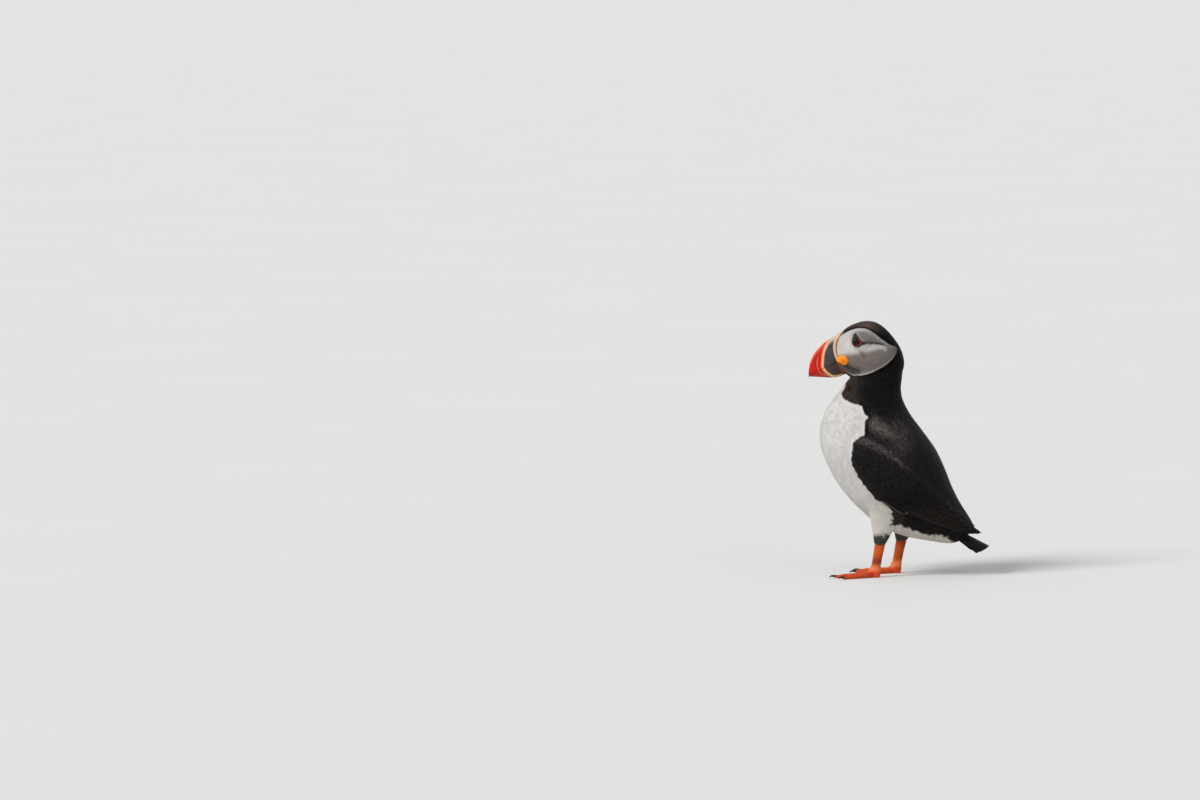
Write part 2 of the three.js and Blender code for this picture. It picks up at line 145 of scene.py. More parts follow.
def away_from(curve, x, z):
    """Each point's distance from a curve drawn in side view."""
    gaps = np.stack([x, z], -1)[:, None] - curve[None]
    return np.sqrt((gaps**2).sum(-1).min(1))


def inside(outline, x, z):
    """True for each point that lies inside a closed outline drawn in side view."""
    x0, z0 = outline.T
    x1, z1 = np.roll(outline, -1, 0).T
    rise = np.where(z1 == z0, 1e-9, z1 - z0)
    spans = (z0 > z[:, None]) != (z1 > z[:, None])
    beyond = x[:, None] < (x1 - x0) * (z[:, None] - z0) / rise + x0
    return (spans & beyond).sum(1) % 2 == 1


def within(outline, x, z):
    """Distance inside a closed outline, negative outside it."""
    return away_from(outline, x, z) * np.where(inside(outline, x, z), 1, -1)


# ------------------------------------------------------------------ meshes


def make_mesh(name, places, faces, shade=None, normals=None, bake_map=None, barb_map=None):
    """An object from places in millimetres and faces with equally many corners."""
    places = np.asarray(places, float)
    faces = np.asarray(faces, np.int32)
    corners = faces.shape[1]
    mesh = bpy.data.meshes.new(name)
    mesh.vertices.add(len(places))
    mesh.vertices.foreach_set("co", (places * MM).astype(np.float32).ravel())
    mesh.loops.add(faces.size)
    mesh.loops.foreach_set("vertex_index", faces.ravel())
    mesh.polygons.add(len(faces))
    mesh.polygons.foreach_set("loop_start", np.arange(0, faces.size, corners, dtype=np.int32))
    mesh.update(calc_edges=True)
    mesh.shade_smooth()
    for title, at in (("OFBake", bake_map), ("Barbs", barb_map)):
        if at is not None:
            layer = mesh.uv_layers.new(name=title)
            layer.uv.foreach_set("vector", at[faces.ravel()].astype(np.float32).ravel())
    if shade is not None:
        colours = np.ones((len(places), 4), np.float32)
        colours[:, :3] = shade
        layer = mesh.color_attributes.new("shade", "FLOAT_COLOR", "POINT")
        layer.data.foreach_set("color", colours.ravel())
    if normals is not None:
        mesh.normals_split_custom_set_from_vertices(unit(normals).tolist())
    made = bpy.data.objects.new(name, mesh)
    bpy.context.scene.collection.objects.link(made)
    return made


def corners_of(mesh):
    """A mesh's places in millimetres, its triangles and its normals."""
    places = np.empty(len(mesh.vertices) * 3, np.float32)
    mesh.vertices.foreach_get("co", places)
    normals = np.empty(len(mesh.vertices) * 3, np.float32)
    mesh.vertex_normals.foreach_get("vector", normals)
    mesh.calc_loop_triangles()
    triangles = np.empty(len(mesh.loop_triangles) * 3, np.int32)
    mesh.loop_triangles.foreach_get("vertices", triangles)
    return places.reshape(-1, 3) / MM, triangles.reshape(-1, 3), normals.reshape(-1, 3).astype(float)


def normals_of(places, faces):
    tilt = np.cross(places[faces[:, 1]] - places[faces[:, 0]], places[faces[:, 2]] - places[faces[:, 0]])
    normals = np.zeros_like(places)
    for k in range(3):
        np.add.at(normals, faces[:, k], tilt)
    return unit(normals)


def frame_solid(nodes, grow=0.0):
    """The frame's own solids joined as one set of triangles, each grown outwards a little."""
    all_places, all_faces, count = [], [], 0
    for node in nodes:
        places, faces, _ = corners_of(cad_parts[node].data)
        _, first, same = np.unique(np.round(places, 3), axis=0, return_index=True, return_inverse=True)
        places = places[first].astype(float)
        faces = same.reshape(-1)[faces]
        all_places.append(places + normals_of(places, faces) * grow)
        all_faces.append(faces + count)
        count += len(places)
    return np.concatenate(all_places), np.concatenate(all_faces)


def resurfaced(nodes, grow, voxel, smoothing):
    """One even, smoothed surface over some of the frame's solids: places, triangles, normals."""
    places, faces = frame_solid(nodes, grow)
    raw = make_mesh("raw", places, faces)
    remesh = raw.modifiers.new("even", "REMESH")
    remesh.mode = "VOXEL"
    remesh.voxel_size = voxel * MM
    even = raw.modifiers.new("smooth", "SMOOTH")
    even.factor = 0.5
    even.iterations = smoothing
    evaluated = raw.evaluated_get(bpy.context.evaluated_depsgraph_get())
    found = corners_of(evaluated.to_mesh())
    evaluated.to_mesh_clear()
    bpy.data.objects.remove(raw)
    return found


class Surface:
    """A triangle surface that answers where its nearest point is."""

    def __init__(self, places, faces):
        self.places, self.faces, self.normals = places, faces, normals_of(places, faces)
        self.tree = BVHTree.FromPolygons(places.tolist(), faces.tolist())

    def facing(self, faces):
        """The smooth normal at the middle of each of some faces."""
        return unit(self.normals[self.faces[faces]].mean(1))

    def nearest(self, places):
        """The surface's point nearest to each place, and its smooth normal there."""
        spots = np.empty_like(places)
        faces = np.empty(len(places), int)
        for i, place in enumerate(places.tolist()):
            spots[i], _, faces[i], _ = self.tree.find_nearest(place)
        return spots, self.facing(faces)

    def gap(self, places):
        return np.linalg.norm(self.nearest(places)[0] - places, axis=1)

    def from_side(self, x, z, side):
        """The surface's outermost point at each (x, z) on one side of the bird, with its normal."""
        spots = np.empty((len(x), 3))
        faces = np.empty(len(x), int)
        for i, (px, pz) in enumerate(zip(x.tolist(), z.tolist())):
            hit, _, face, _ = self.tree.ray_cast(Vector((px, side * 200, pz)), Vector((0, -side, 0)))
            if hit is None:
                hit, _, face, _ = self.tree.find_nearest(Vector((px, side * 20, pz)))
            spots[i], faces[i] = hit, face
        return spots, self.facing(faces)

    def scatter(self, count):
        """Random places spread evenly over the surface, with their normals."""
        a, b, c = (self.places[self.faces[:, k]] for k in range(3))
        areas = np.linalg.norm(np.cross(b - a, c - a), axis=1)
        face = rng.choice(len(areas), count, p=areas / areas.sum())
        u, v = np.sqrt(rng.random(count)), rng.random(count)
        shares = np.stack([1 - u, u * (1 - v), u * v], 1)[..., None]
        corners = self.faces[face]
        return (self.places[corners] * shares).sum(1), unit((self.normals[corners] * shares).sum(1))


def thinned(places, spacing):
    """Which places are kept so that no two lie closer than their spacing."""
    tree = KDTree(len(places))
    for i, place in enumerate(places.tolist()):
        tree.insert(place, i)
    tree.balance()
    waiting, kept, dropped = 0, 1, 2
    state = np.full(len(places), waiting, np.int8)
    for i, place in enumerate(places.tolist()):
        if state[i] == waiting:
            for _, other, _ in tree.find_range(place, spacing[i]):
                if state[other] == waiting:
                    state[other] = dropped
            state[i] = kept
    return state == kept


def in_triangles(quads):
    return np.concatenate([quads[:, [0, 1, 2]], quads[:, [0, 2, 3]]])


def barrel(rings, around):
    """Triangles round a stack of rings, whose ends close on two points listed after the rings."""
    index = np.arange(rings * around).reshape(rings, around)
    after = np.roll(index, -1, 1)
    sides = np.stack([index[:-1], index[1:], after[1:], after[:-1]], -1).reshape(-1, 4)
    first, last = rings * around, rings * around + 1
    caps = [(first, index[0, k], after[0, k]) for k in range(around)]
    caps += [(last, after[-1, k], index[-1, k]) for k in range(around)]
    return np.concatenate([in_triangles(sides), caps])


# ------------------------------------------------------------------ markings, drawn in side view

EYE = middle_of("eye_left")
WING_UPPER = through(
    [
        (-46.6, 122.5), (-42.6, 128), (-34, 128.3), (-22.3, 119.3), (-6.8, 105.7), (9.8, 92),
        (25.7, 80), (39.8, 67.8), (52.2, 57.4), (64.7, 46.9), (76.1, 38),
    ],
    201,
)
WING_LOWER = through(
    [
        (-47.6, 115), (-47.3, 106.8), (-41.6, 94.6), (-32.6, 82.2), (-21.2, 69.6), (-6.6, 60.8),
        (9.4, 54), (26.6, 47.5), (43.8, 42), (59.3, 38.8), (75.2, 36.2),
    ],
    201,
)
FACE_EDGE = through(
    [
        (-57.3, 211.4), (-58.1, 206.7), (-57.3, 200.7), (-55.3, 190.8), (-50.7, 184.8), (-44.1, 180.9),
        (-38.2, 181), (-28.9, 183.6), (-18.4, 188.9), (-11.1, 194.2), (-5.9, 200.1), (-3.9, 204.1),
        (-5.2, 206.7), (-11.1, 208.9), (-17.8, 213.3), (-24.3, 218.6), (-29.6, 222), (-34.2, 223.3),
        (-40.2, 223), (-47.4, 220.3), (-53.3, 216.4),
    ],
    160,
    closed=True,
)
WHITE_EDGE = np.concatenate(
    [
        through(
            [
                (-46.2, 178), (-49.6, 170.8), (-52, 166.9), (-53.6, 163.8), (-51.8, 160), (-45.4, 156.8),
                (-38.4, 154.8), (-37.1, 151.3), (-35.7, 147.4), (-33.1, 145.1), (-36, 141.9),
                (-36.8, 135.7), (-37.3, 130.1), (-40.4, 128.5), (-44.5, 124.5), (-46.3, 118),
                (-44.6, 109.3), (-38.3, 95.3), (-32, 86.4), (-25.5, 77.4), (-19, 71), (-12, 65.9),
                (-10.5, 57.7), (-9.5, 46), (-3.5, 47), (4.8, 43.8), (11.3, 41.5), (21.6, 37.6),
                (32, 36.7), (40.5, 34.4), (50.2, 28.8),
            ],
            220,
        ),
        [(90, 20), (90, -20), (-120, -20), (-120, 172)],  # round the breast and belly, clear of the bird
    ]
)
FACE_FLOOR = 176  # the face's markings end above this height
HOOD_FROM = 141  # height along the neck where the hood's feathers begin
CREASE = through([(-36, 209.3), (-30.5, 210.4), (-24.5, 210), (-17, 208.8), (-11.5, 207.2)], 40)
CHEEK_VALLEY = through([(-40.6, 206), (-37.6, 203), (-35.2, 200.2), (-33.8, 197.6)], 24)
# where a painted highlight lies along the top of the cheek's lobe
LOBE_HIGHLIGHT = through([(-34, 204.4), (-30.5, 206.2), (-25, 207), (-19, 206.6), (-15.5, 204.8)], 30)
LOBE_EDGE = through([(-36.2, 201.6), (-34.2, 204), (-31.4, 206.4), (-28.4, 208.2)], 24)
JAW_FOLD = through([(-49.5, 190.2), (-46.5, 188), (-42.8, 186), (-38.6, 184.9)], 24)
WING_RIDGE = through([(-43.5, 126.5), (-35, 124), (-26, 118.4), (-17, 113.6), (-4, 103.5), (6, 96)], 50)
# about the eye's middle
EYE_RIM = through([(1.8, 7.0), (3.4, 4.8), (5.0, 2.4), (6.8, 0.8)], 24) + EYE[[0, 2]]
EYE_OPENING = through(
    [
        (0.1, 3.7), (-1.5, 2.4), (-2.3, 0.4), (-2.1, -1.9), (-0.9, -3.4), (1.2, -3.5), (3.2, -2.5),
        (4.4, -1.0), (3.1, 0.9), (1.7, 2.6),
    ],
    120,
    closed=True,
)

HOOD_BLACK = srgb(9, 8, 9)
CROWN_BROWN_AND_SHEEN = srgb(104, 89, 80)
COLLAR_BROWN = srgb(66, 54, 47)
MANTLE_BLACK = srgb(14, 13, 15)
WING_BLACK = srgb(12, 11, 12)
EDGE_BROWN = srgb(56, 48, 44)
FLANK_DARK = srgb(7, 6, 6)
THIGH_BROWN = srgb(44, 36, 30)
RING_BROWN = srgb(30, 21, 16)
SNOW = srgb(229, 227, 223)
CREAM_WHITE = srgb(219, 213, 204)
SMOKE = srgb(158, 146, 134)
# brown painted sheen on the black feathers, and the pale that their streaks take on, mostly where that
# sheen lies
PAINTED_SHEEN_BROWN = srgb(84, 76, 74)
STREAK_AND_SHEEN_PALE = srgb(158, 148, 146)
FACE_PALE = srgb(208, 202, 197)
# the face's grey, the chin's grey and the dark of folds and crease carry painted shade too
FACE_GREY_AND_SHADE = srgb(114, 106, 101)
CHIN_GREY_AND_SHADE = srgb(94, 84, 77)
FOLD_SHADE = srgb(46, 39, 36)
CREASE_DARK_AND_SHADE = srgb(44, 38, 37)


def up_neck(places):
    """Height measured along the neck, which leans forwards."""
    return places[:, 2] + 0.25 * places[:, 0]


def beside_eye(places, scale=1.0):
    """Distance inside the eye's opening, drawn larger by scale, and negative outside it."""
    return within(EYE_OPENING * scale + EYE[[0, 2]], places[:, 0], places[:, 2])


def face_colour(places):
    """Pale round eye and lore; greyer on brow, cheek and lobe, as own grey and painted shade; a painted
    highlight on the lobe; dark in the folds as painted shade.
    """
    x, _, z = places.T
    inset = within(FACE_EDGE, x, z)
    # grey on cheek, brow, lobe and rear: partly the face's own grey, partly painted shade
    cheek = smooth(207, 200.6, z - 0.22 * (x + 30))
    top_edge = smooth(4.5, 1.0, inset) * lerp(0.85, 0.35, smooth(-38, -26, x))
    brow = smooth(207.8, 209.8, z) * smooth(-48, -40.5, x) * (1 - top_edge)
    behind = 0.85 * smooth(-18, -11, x)
    lobe = 0.3 * smooth(-42, -35, x)
    shade = blend(FACE_PALE, FACE_GREY_AND_SHADE, np.max([cheek, brow, behind, lobe], 0))
    # the chin's grey: partly darker feathers, partly painted shade under the head
    chin = smooth(194, 189.5, z + 0.5 * (x + 50)) * smooth(-37, -44, x)
    shade = blend(shade, CHIN_GREY_AND_SHADE, 0.9 * chin)
    # painted shade in the jaw's fold
    shade = blend(shade, FOLD_SHADE, 0.9 * bump_of(away_from(JAW_FOLD, x, z), 2.1))
    rim = smooth(1.8, 0.5, inset) * smooth(-50, -44, x) * smooth(203, 193, z)
    # a pale rim along the lower edge, and a painted highlight along the lobe's top
    shade = blend(shade, FACE_PALE, 0.5 * rim + 0.55 * bump_of(away_from(LOBE_HIGHLIGHT, x, z), 1.5))
    shade = blend(shade, FACE_PALE, 0.45 * bump_of(away_from(EYE_RIM, x, z), 0.65))
    # the crease's own dark line, and painted shade in the crease, the cheek's valley and beside the lobe
    crease = 1.3 * bump_of(away_from(CREASE, x, z), 1.05) * smooth(-11, -21, x)
    valley = 0.34 * bump_of(away_from(CHEEK_VALLEY, x, z), 1.6)
    lobe_edge = 0.24 * bump_of(away_from(LOBE_EDGE, x, z), 1.4)
    return blend(shade, CREASE_DARK_AND_SHADE, np.clip(crease + (valley + lobe_edge), 0, 1))


def hood_colour(places):
    """Black, with a brown crown that is partly painted sheen, and a brown mottled collar above the white
    breast.
    """
    x, _, z = places.T
    # the crown's brown is partly its own and partly painted sheen on the top of the head
    crown = smooth(216, 225, z) * smooth(-12, -30, x) * (0.75 + 0.25 * wobble(places, 7, 3))
    crown = crown * smooth(0.2, 2.6, away_from(FACE_EDGE, x, z))
    shade = blend(MANTLE_BLACK, HOOD_BLACK, smooth(120, 155, up_neck(places)))
    shade = blend(shade, CROWN_BROWN_AND_SHEEN, np.clip(crown, 0, 1))
    collar = smooth(13, 2, away_from(WHITE_EDGE, x, z)) * smooth(-32, -44, x) * smooth(150, 158, z)
    return blend(shade, COLLAR_BROWN, np.clip(collar * (0.75 + 0.45 * wobble(places, 4, 5)), 0, 1))


def white_colour(places):
    """White, creamy low on the belly and smoky grey beside the wing's edge."""
    x, y, z = places.T
    shade = blend(SNOW, CREAM_WHITE, smooth(95, 50, z) * smooth(-50, -20, x))
    beside_wing = smooth(7, 1, away_from(WHITE_EDGE, x, z)) * smooth(118, 108, z) * smooth(62, 70, z)
    shade = blend(shade, SMOKE, beside_wing * uneven(places, 5, 12, 0.4, 0.5) * (np.abs(y) > 20))
    return shade * (1 + 0.03 * wobble(places, 12, 8))[:, None]


def back_colour(places):
    """Black, a little warmer low down, with brown painted sheen on shoulder, back and the wing's upper
    ridge.
    """
    x, _, z = places.T
    shade = blend(MANTLE_BLACK, WING_BLACK, smooth(120, 70, z))
    shade = blend(shade, HOOD_BLACK, smooth(120, 155, up_neck(places)))
    shade = blend(shade, FLANK_DARK, smooth(68, 60, z + 0.45 * x) * smooth(62, 56, z))
    # brown painted sheen, mottled, on shoulder, back and wing ridge
    return blend(shade, PAINTED_SHEEN_BROWN, 0.55 * painted_sheen_share(places) * uneven(places, 4, 14, 0.7, 0.5))


def painted_sheen_share(places):
    """How much painted sheen lies on the feathers: most on the shoulder and along the wing's upper ridge,
    less on the back.
    """
    x, y, z = places.T
    ridge = 0.75 * bump_of(away_from(WING_RIDGE, x, z), 3) * smooth(8, -14, x)
    run, off = x + 26 + 0.5 * (z - 138), z - 138 + 0.45 * (x + 26)
    shoulder = bump_of(np.hypot(run / 15, off / 6.5), 1)
    back = 0.4 * bump_of(np.hypot(x + 4, (z - 128) / 1.4), 12)
    return np.max([ridge, shoulder, back], 0) * smooth(14, 24, np.abs(y))


def thigh_share(places):
    """How far each place is in the dusky patch behind the thigh."""
    x, _, z = places.T
    return smooth(-12, -9, x) * smooth(4, -2, x) * smooth(70, 64, z) * smooth(42, 47, z)


def ring_share(places):
    """How far each place is in the dusky ring round the end of the feathered shank."""
    streaks = wobble(places * np.array([1, 1, 0.25]), 0.9, 9) + wobble(places, 4, 10)
    return smooth(40.5, 36, places[:, 2] + 1.6 * streaks) * on_leg(places)


def regions(places):
    """The plumage that grows at each place: face, white, hood or back."""
    x, _, z = places.T
    kinds = np.full(len(places), "back", dtype="<U5")
    kinds[up_neck(places) > HOOD_FROM] = "hood"
    kinds[inside(WHITE_EDGE, x, z)] = "white"
    kinds[inside(FACE_EDGE, x, z) & (z > FACE_FLOOR)] = "face"
    return kinds


def by_kind(kinds, face, white, black):
    """One value for the face's feathers, one for the white ones and one for hood and back."""
    return np.where(kinds == "face", face, np.where(kinds == "white", white, black))


COLOUR_OF = {"face": face_colour, "white": white_colour, "hood": hood_colour, "back": back_colour}


def plumage_colour(places, kinds, on_wing):
    """The feathers' colour at each place."""
    kinds = np.where((kinds == "white") & (on_wing > 0.5), "back", kinds)
    shade = np.zeros((len(places), 3))
    for kind, colour in COLOUR_OF.items():
        mine = kinds == kind
        if mine.any():
            shade[mine] = colour(places[mine])
    shade = blend(shade, THIGH_BROWN, thigh_share(places) * (kinds == "back") * (1 - on_wing))
    return blend(shade, RING_BROWN, 0.95 * ring_share(places))


# ------------------------------------------------------------------ the body's form and the lie of its coat

FLESH = ["head", "neck", "trunk", "wing_left", "wing_right", "shank_left", "shank_right"]
EYES = ["eye_left", "eye_right"]
BARE = ["tail", "tarsus_left", "tarsus_right"]
FORM_GROW, FORM_VOXEL, FORM_SMOOTHING = 0.3, 1.0, 22
FORM_PROUD = 0.1  # how far the form stands outside the smoothed solids
SPINE = np.array(
    [
        (-62, 200), (-46, 203), (-31, 201), (-22, 192), (-21, 180), (-26, 165), (-29, 150),
        (-28, 136), (-21, 120), (-12, 103), (-2, 86), (9, 70), (22, 56), (37, 45), (56, 35), (82, 25),
    ],
    float,
)
WING_LINE = np.array(
    [
        (-46, 122), (-42, 113), (-32, 101), (-15, 87), (2, 76), (18, 67), (34, 58), (49, 50), (63, 43),
        (78, 36),
    ],
    float,
)
LINE_REACH = 9  # how far off a line its direction is still felt strongly
SHOULDER_FALL = np.array([0.8, 0.0, -0.6])  # the way the long shoulder feathers droop
LEG_FALL = np.array([0.05, 0.0, -1.0])
LEG_TOPS = {side: middle_of(f"shank_{name}") for name, side in SIDES.items()}
FACE_DEPTH, LEG_DEPTH = 0.45, 1.1  # the coat's depth where it is thin
BODY_DEPTH, NECK_DEPTH = 2.4, 1.3
WING_THINNING = 0.4  # the share of that depth on the folded wings


def along(line, places):
    """The direction of a side-view line near each place, as rows of (x, y, z)."""
    starts, ends = line[:-1], line[1:]
    headings = unit(ends - starts)
    gaps = places[:, None][..., [0, 2]] - ((starts + ends) / 2)[None]
    weight = 1 / ((gaps**2).sum(-1) + LINE_REACH**2) ** 2
    heading = unit((weight[..., None] * headings[None]).sum(1))
    return np.stack([heading[:, 0], np.zeros(len(places)), heading[:, 1]], 1)


def on_leg(places):
    """How much each place belongs to a shank."""
    share = np.zeros(len(places))
    for top in LEG_TOPS.values():
        across = np.hypot(places[:, 0] - top[0], (places[:, 1] - top[1]) * 1.2)
        share = np.maximum(share, smooth(18, 9, across) * smooth(58, 44, places[:, 2]))
    return share


def lie(places, normals, on_wing):
    """The way feathers lie at each place, along the surface."""
    x, y, z = places.T
    heading = blend(along(SPINE, places), along(WING_LINE, places), on_wing)
    shoulder = bump_of(np.hypot((x + 22) / 20, (z - 134) / 13), 1) * smooth(10, 22, np.abs(y))
    heading = blend(heading, SHOULDER_FALL, 0.8 * shoulder * (1 - on_wing))
    heading = blend(heading, LEG_FALL, on_leg(places))
    return unit(heading - normals * (heading * normals).sum(1, keepdims=True))


def head_relief(places):
    """How far the face stands out from a plain rounded head: its crease and the lobes beside it."""
    x, y, z = places.T
    cheek = bump_of(np.hypot((x + 22) / 1.6, z - 199), 9)
    brow = bump_of(np.hypot((x + 30) / 1.6, z - 215.5), 5)
    lore = bump_of(np.hypot((x + 49) / 0.9, (z - 203) / 1.3), 6)
    socket = bump_of(np.hypot(x - EYE[0] - 0.6, z - EYE[2]), 5.0)
    relief = 1.5 * cheek + 1.0 * brow + 0.8 * lore - 0.8 * socket
    for fold, depth, width in (
        (CREASE, 1.9, 1.8), (CHEEK_VALLEY, 1.1, 2.1), (LOBE_EDGE, 0.6, 1.6), (JAW_FOLD, 0.6, 1.6),
    ):
        relief -= depth * bump_of(away_from(fold, x, z), width)
    return smooth(7, 12, np.abs(y)) * smooth(178, 186, z) * relief


def coat_depth(places):
    """How deep the coat is: thin on the face, thicker on neck, breast and back."""
    x, _, z = places.T
    depth = lerp(BODY_DEPTH, NECK_DEPTH, smooth(135, 170, z))
    depth = lerp(depth, FACE_DEPTH, smooth(-1.5, 0.8, within(FACE_EDGE, x, z)) * (z > FACE_FLOOR))
    return lerp(depth, LEG_DEPTH, on_leg(places) * smooth(50, 38, z))


def body_form(nodes):
    places, faces, normals = resurfaced(nodes, FORM_GROW, FORM_VOXEL, FORM_SMOOTHING)
    return Surface(places + normals * (head_relief(places) - FORM_GROW + FORM_PROUD)[:, None], faces)


form = body_form([*FLESH, *EYES])
guide = body_form([*FLESH, *EYES, *BARE])  # what the feathers' ends lie on
wings = Surface(*frame_solid(["wing_left", "wing_right"]))
bill = Surface(*frame_solid(["bill_upper", "bill_lower"]))


def wing_share(places):
    """1 on the folded wings' outer faces and 0 on the rest of the body."""
    return smooth(1.6, 0.7, wings.gap(places))


def bill_gap(places):
    """Distance from the bill, and far for all that lies behind the face."""
    near = places[:, 0] < -38
    gap = np.full(len(places), 50.0)
    gap[near] = bill.gap(places[near])
    return gap


def unwrapped(places):
    """Where each place lies on the flattened coat: round the spine, and along it."""
    starts, ends = SPINE[:-1], SPINE[1:]
    steps = ends - starts
    lengths = np.linalg.norm(steps, axis=1)
    gaps = places[:, None][..., [0, 2]] - starts[None]
    share = np.clip((gaps * steps).sum(-1) / lengths**2, 0, 1)
    off = gaps - share[..., None] * steps
    nearest = (off**2).sum(-1).argmin(1)
    row = np.arange(len(places))
    share, off = share[row, nearest], off[row, nearest]
    run = (np.concatenate([[0], np.cumsum(lengths)])[nearest] + share * lengths[nearest]) / lengths.sum()
    heading = steps[nearest] / lengths[nearest, None]
    back = off[:, 0] * -heading[:, 1] + off[:, 1] * heading[:, 0]
    turn = np.arctan2(places[:, 1], back) / (2 * math.pi) + 0.5
    return 0.02 + 0.96 * np.stack([turn, run], 1)


# ------------------------------------------------------------------ camera and lamps

CAMERA_TURN, CAMERA_TILT = math.radians(-6), math.radians(4)
CAMERA_LENS, CAMERA_SENSOR, FRAME_WIDTH = 200, 36, 1080
LOOK_AT = (-270, 157.5)  # across and up from the foot of the nape, in the camera's own plane
NAPE_TO_TAIL = 80.5
NAPE_X = cad_box[1][0] / MM - NAPE_TO_TAIL  # the foot of the nape, from which bill and tail are measured


def add_camera():
    """A long lens, a little ahead of the bird and above it, that fits it into the frame."""
    right = Vector((math.cos(CAMERA_TURN), math.sin(CAMERA_TURN), 0))
    back = Vector((math.sin(CAMERA_TURN), -math.cos(CAMERA_TURN), 0)) * math.cos(CAMERA_TILT)
    back.z = math.sin(CAMERA_TILT)
    up = back.cross(right)
    target = Vector((NAPE_X, 0, 0)) + right * LOOK_AT[0] + up * LOOK_AT[1]
    distance = FRAME_WIDTH * CAMERA_LENS / CAMERA_SENSOR
    data = bpy.data.cameras.new("camera")
    data.lens = CAMERA_LENS
    data.sensor_width = CAMERA_SENSOR
    data.clip_end = 300
    camera = bpy.data.objects.new("camera", data)
    camera.location = (target + back * distance) * MM
    camera.rotation_euler = back.to_track_quat("Z", "Y").to_euler()
    bpy.context.scene.collection.objects.link(camera)
    bpy.context.scene.camera = camera


def add_sun(name, towards, strength, softness):
    data = bpy.data.lights.new(name, "SUN")
    data.energy = strength
    data.angle = math.radians(softness)
    lamp = bpy.data.objects.new(name, data)
    lamp.rotation_euler = Vector(towards).to_track_quat("Z", "Y").to_euler()
    bpy.context.scene.collection.objects.link(lamp)


# ------------------------------------------------------------------ materials


class Value:
    """A shader socket that adds Math nodes when it is used in arithmetic."""

    def __init__(self, shader, socket):
        self.shader, self.socket = shader, socket

    def math(self, operation, *inputs):
        return self.shader.node("ShaderNodeMath", {"operation": operation}, dict(enumerate(inputs)))

    def __add__(self, other):
        return self.math("ADD", self, other)

    def __sub__(self, other):
        return self.math("SUBTRACT", self, other)

    def __rsub__(self, other):
        return self.math("SUBTRACT", other, self)

    def __mul__(self, other):
        return self.math("MULTIPLY", self, other)

    def __abs__(self):
        return self.math("ABSOLUTE", self)

    __radd__, __rmul__ = __add__, __mul__


class Shader:
    """The nodes of a material, or of the world, under construction."""

    def __init__(self, owner):
        self.owner = owner
        owner.use_nodes = True
        self.tree = owner.node_tree
        self.tree.nodes.clear()

    def node(self, kind, settings=None, sockets=None, out=0):
        made = self.tree.nodes.new(kind)
        for key, value in (settings or {}).items():
            setattr(made, key, value)
        for key, value in (sockets or {}).items():
            if isinstance(value, Value):
                self.tree.links.new(value.socket, made.inputs[key])
            else:
                made.inputs[key].default_value = value
        return Value(self, made.outputs[out]) if made.outputs else None

    def stretched(self, place, stretch):
        return self.node("ShaderNodeVectorMath", {"operation": "MULTIPLY"}, {0: place, 1: stretch})

    def object_place(self, stretch=(1, 1, 1)):
        return self.stretched(self.node("ShaderNodeTexCoord", out="Object"), stretch)

    def barb_place(self, across=1, along=1):
        """Places on a feather: its UV map runs across its vane and along its shaft."""
        place = self.node("ShaderNodeUVMap", {"uv_map": "Barbs"})
        return self.stretched(place, (across, along, 1))

    def part(self, place, axis):
        return self.node("ShaderNodeSeparateXYZ", None, {0: place}, out=axis)

    def joined(self, x, y):
        return self.node("ShaderNodeCombineXYZ", None, {0: x, 1: y})

    def noise(self, place, scale, detail=3.0, roughness=0.55):
        sockets = {"Vector": place, "Scale": scale, "Detail": detail, "Roughness": roughness}
        return self.node("ShaderNodeTexNoise", None, sockets)

    def seams(self, place, scale):
        """Distance from the seams between small irregular plates."""
        sockets = {"Vector": place, "Scale": scale}
        return self.node("ShaderNodeTexVoronoi", {"feature": "DISTANCE_TO_EDGE"}, sockets)

    def span(self, value, low, high, to_low=0.0, to_high=1.0):
        """A value between low and high, spread over a new range and kept inside it."""
        sockets = {"Value": value, "From Min": low, "From Max": high, "To Min": to_low, "To Max": to_high}
        return self.node("ShaderNodeMapRange", None, sockets)

    def grain(self, noise, to_low, to_high):
        """A noise's middle range, spread over a new one."""
        return self.span(noise, 0.3, 0.7, to_low, to_high)

    def shade(self, light):
        """The piece's own painted colour, made lighter or darker."""
        painted = self.node("ShaderNodeAttribute", {"attribute_name": "shade"})
        return self.node("ShaderNodeVectorMath", {"operation": "SCALE"}, {0: painted, 3: light})

    def mix(self, share, a, b):
        return self.node("ShaderNodeMix", {"data_type": "RGBA"}, {0: share, 6: a, 7: b}, out=2)

    def bump(self, height, distance, strength):
        sockets = {"Height": height, "Distance": distance * MM, "Strength": strength}
        return self.node("ShaderNodeBump", None, sockets)

    def finish(self, **sockets):
        named = {key.replace("_", " "): value for key, value in sockets.items()}
        body = self.node("ShaderNodeBsdfPrincipled", None, named)
        self.node("ShaderNodeOutputMaterial", None, {"Surface": body})
        return self.owner


def new_material(name):
    return Shader(bpy.data.materials.new(name))


def rgba(colour):
    return (*[float(c) for c in colour], 1.0)


def feather_material(name, rough, sheen, barb_depth, shine, tint=(1, 1, 1)):
    """Feathers: fine barbs along each strand, duller between them, with a soft sheen."""
    s = new_material(name)
    barbs = s.noise(s.barb_place(9, 1.6), 3.0, 4.0, 0.6)
    patches = s.noise(s.object_place(), 140.0, 2.0)
    return s.finish(
        Base_Color=s.shade(s.grain(barbs, 0.82, 1.1) * s.grain(patches, 0.93, 1.06)),
        Roughness=s.grain(barbs, *rough),
        Normal=s.bump(barbs, barb_depth, 0.6),
        Sheen_Weight=sheen,
        Sheen_Roughness=0.45,
        Sheen_Tint=(*tint, 1),
        Specular_IOR_Level=shine,
    )


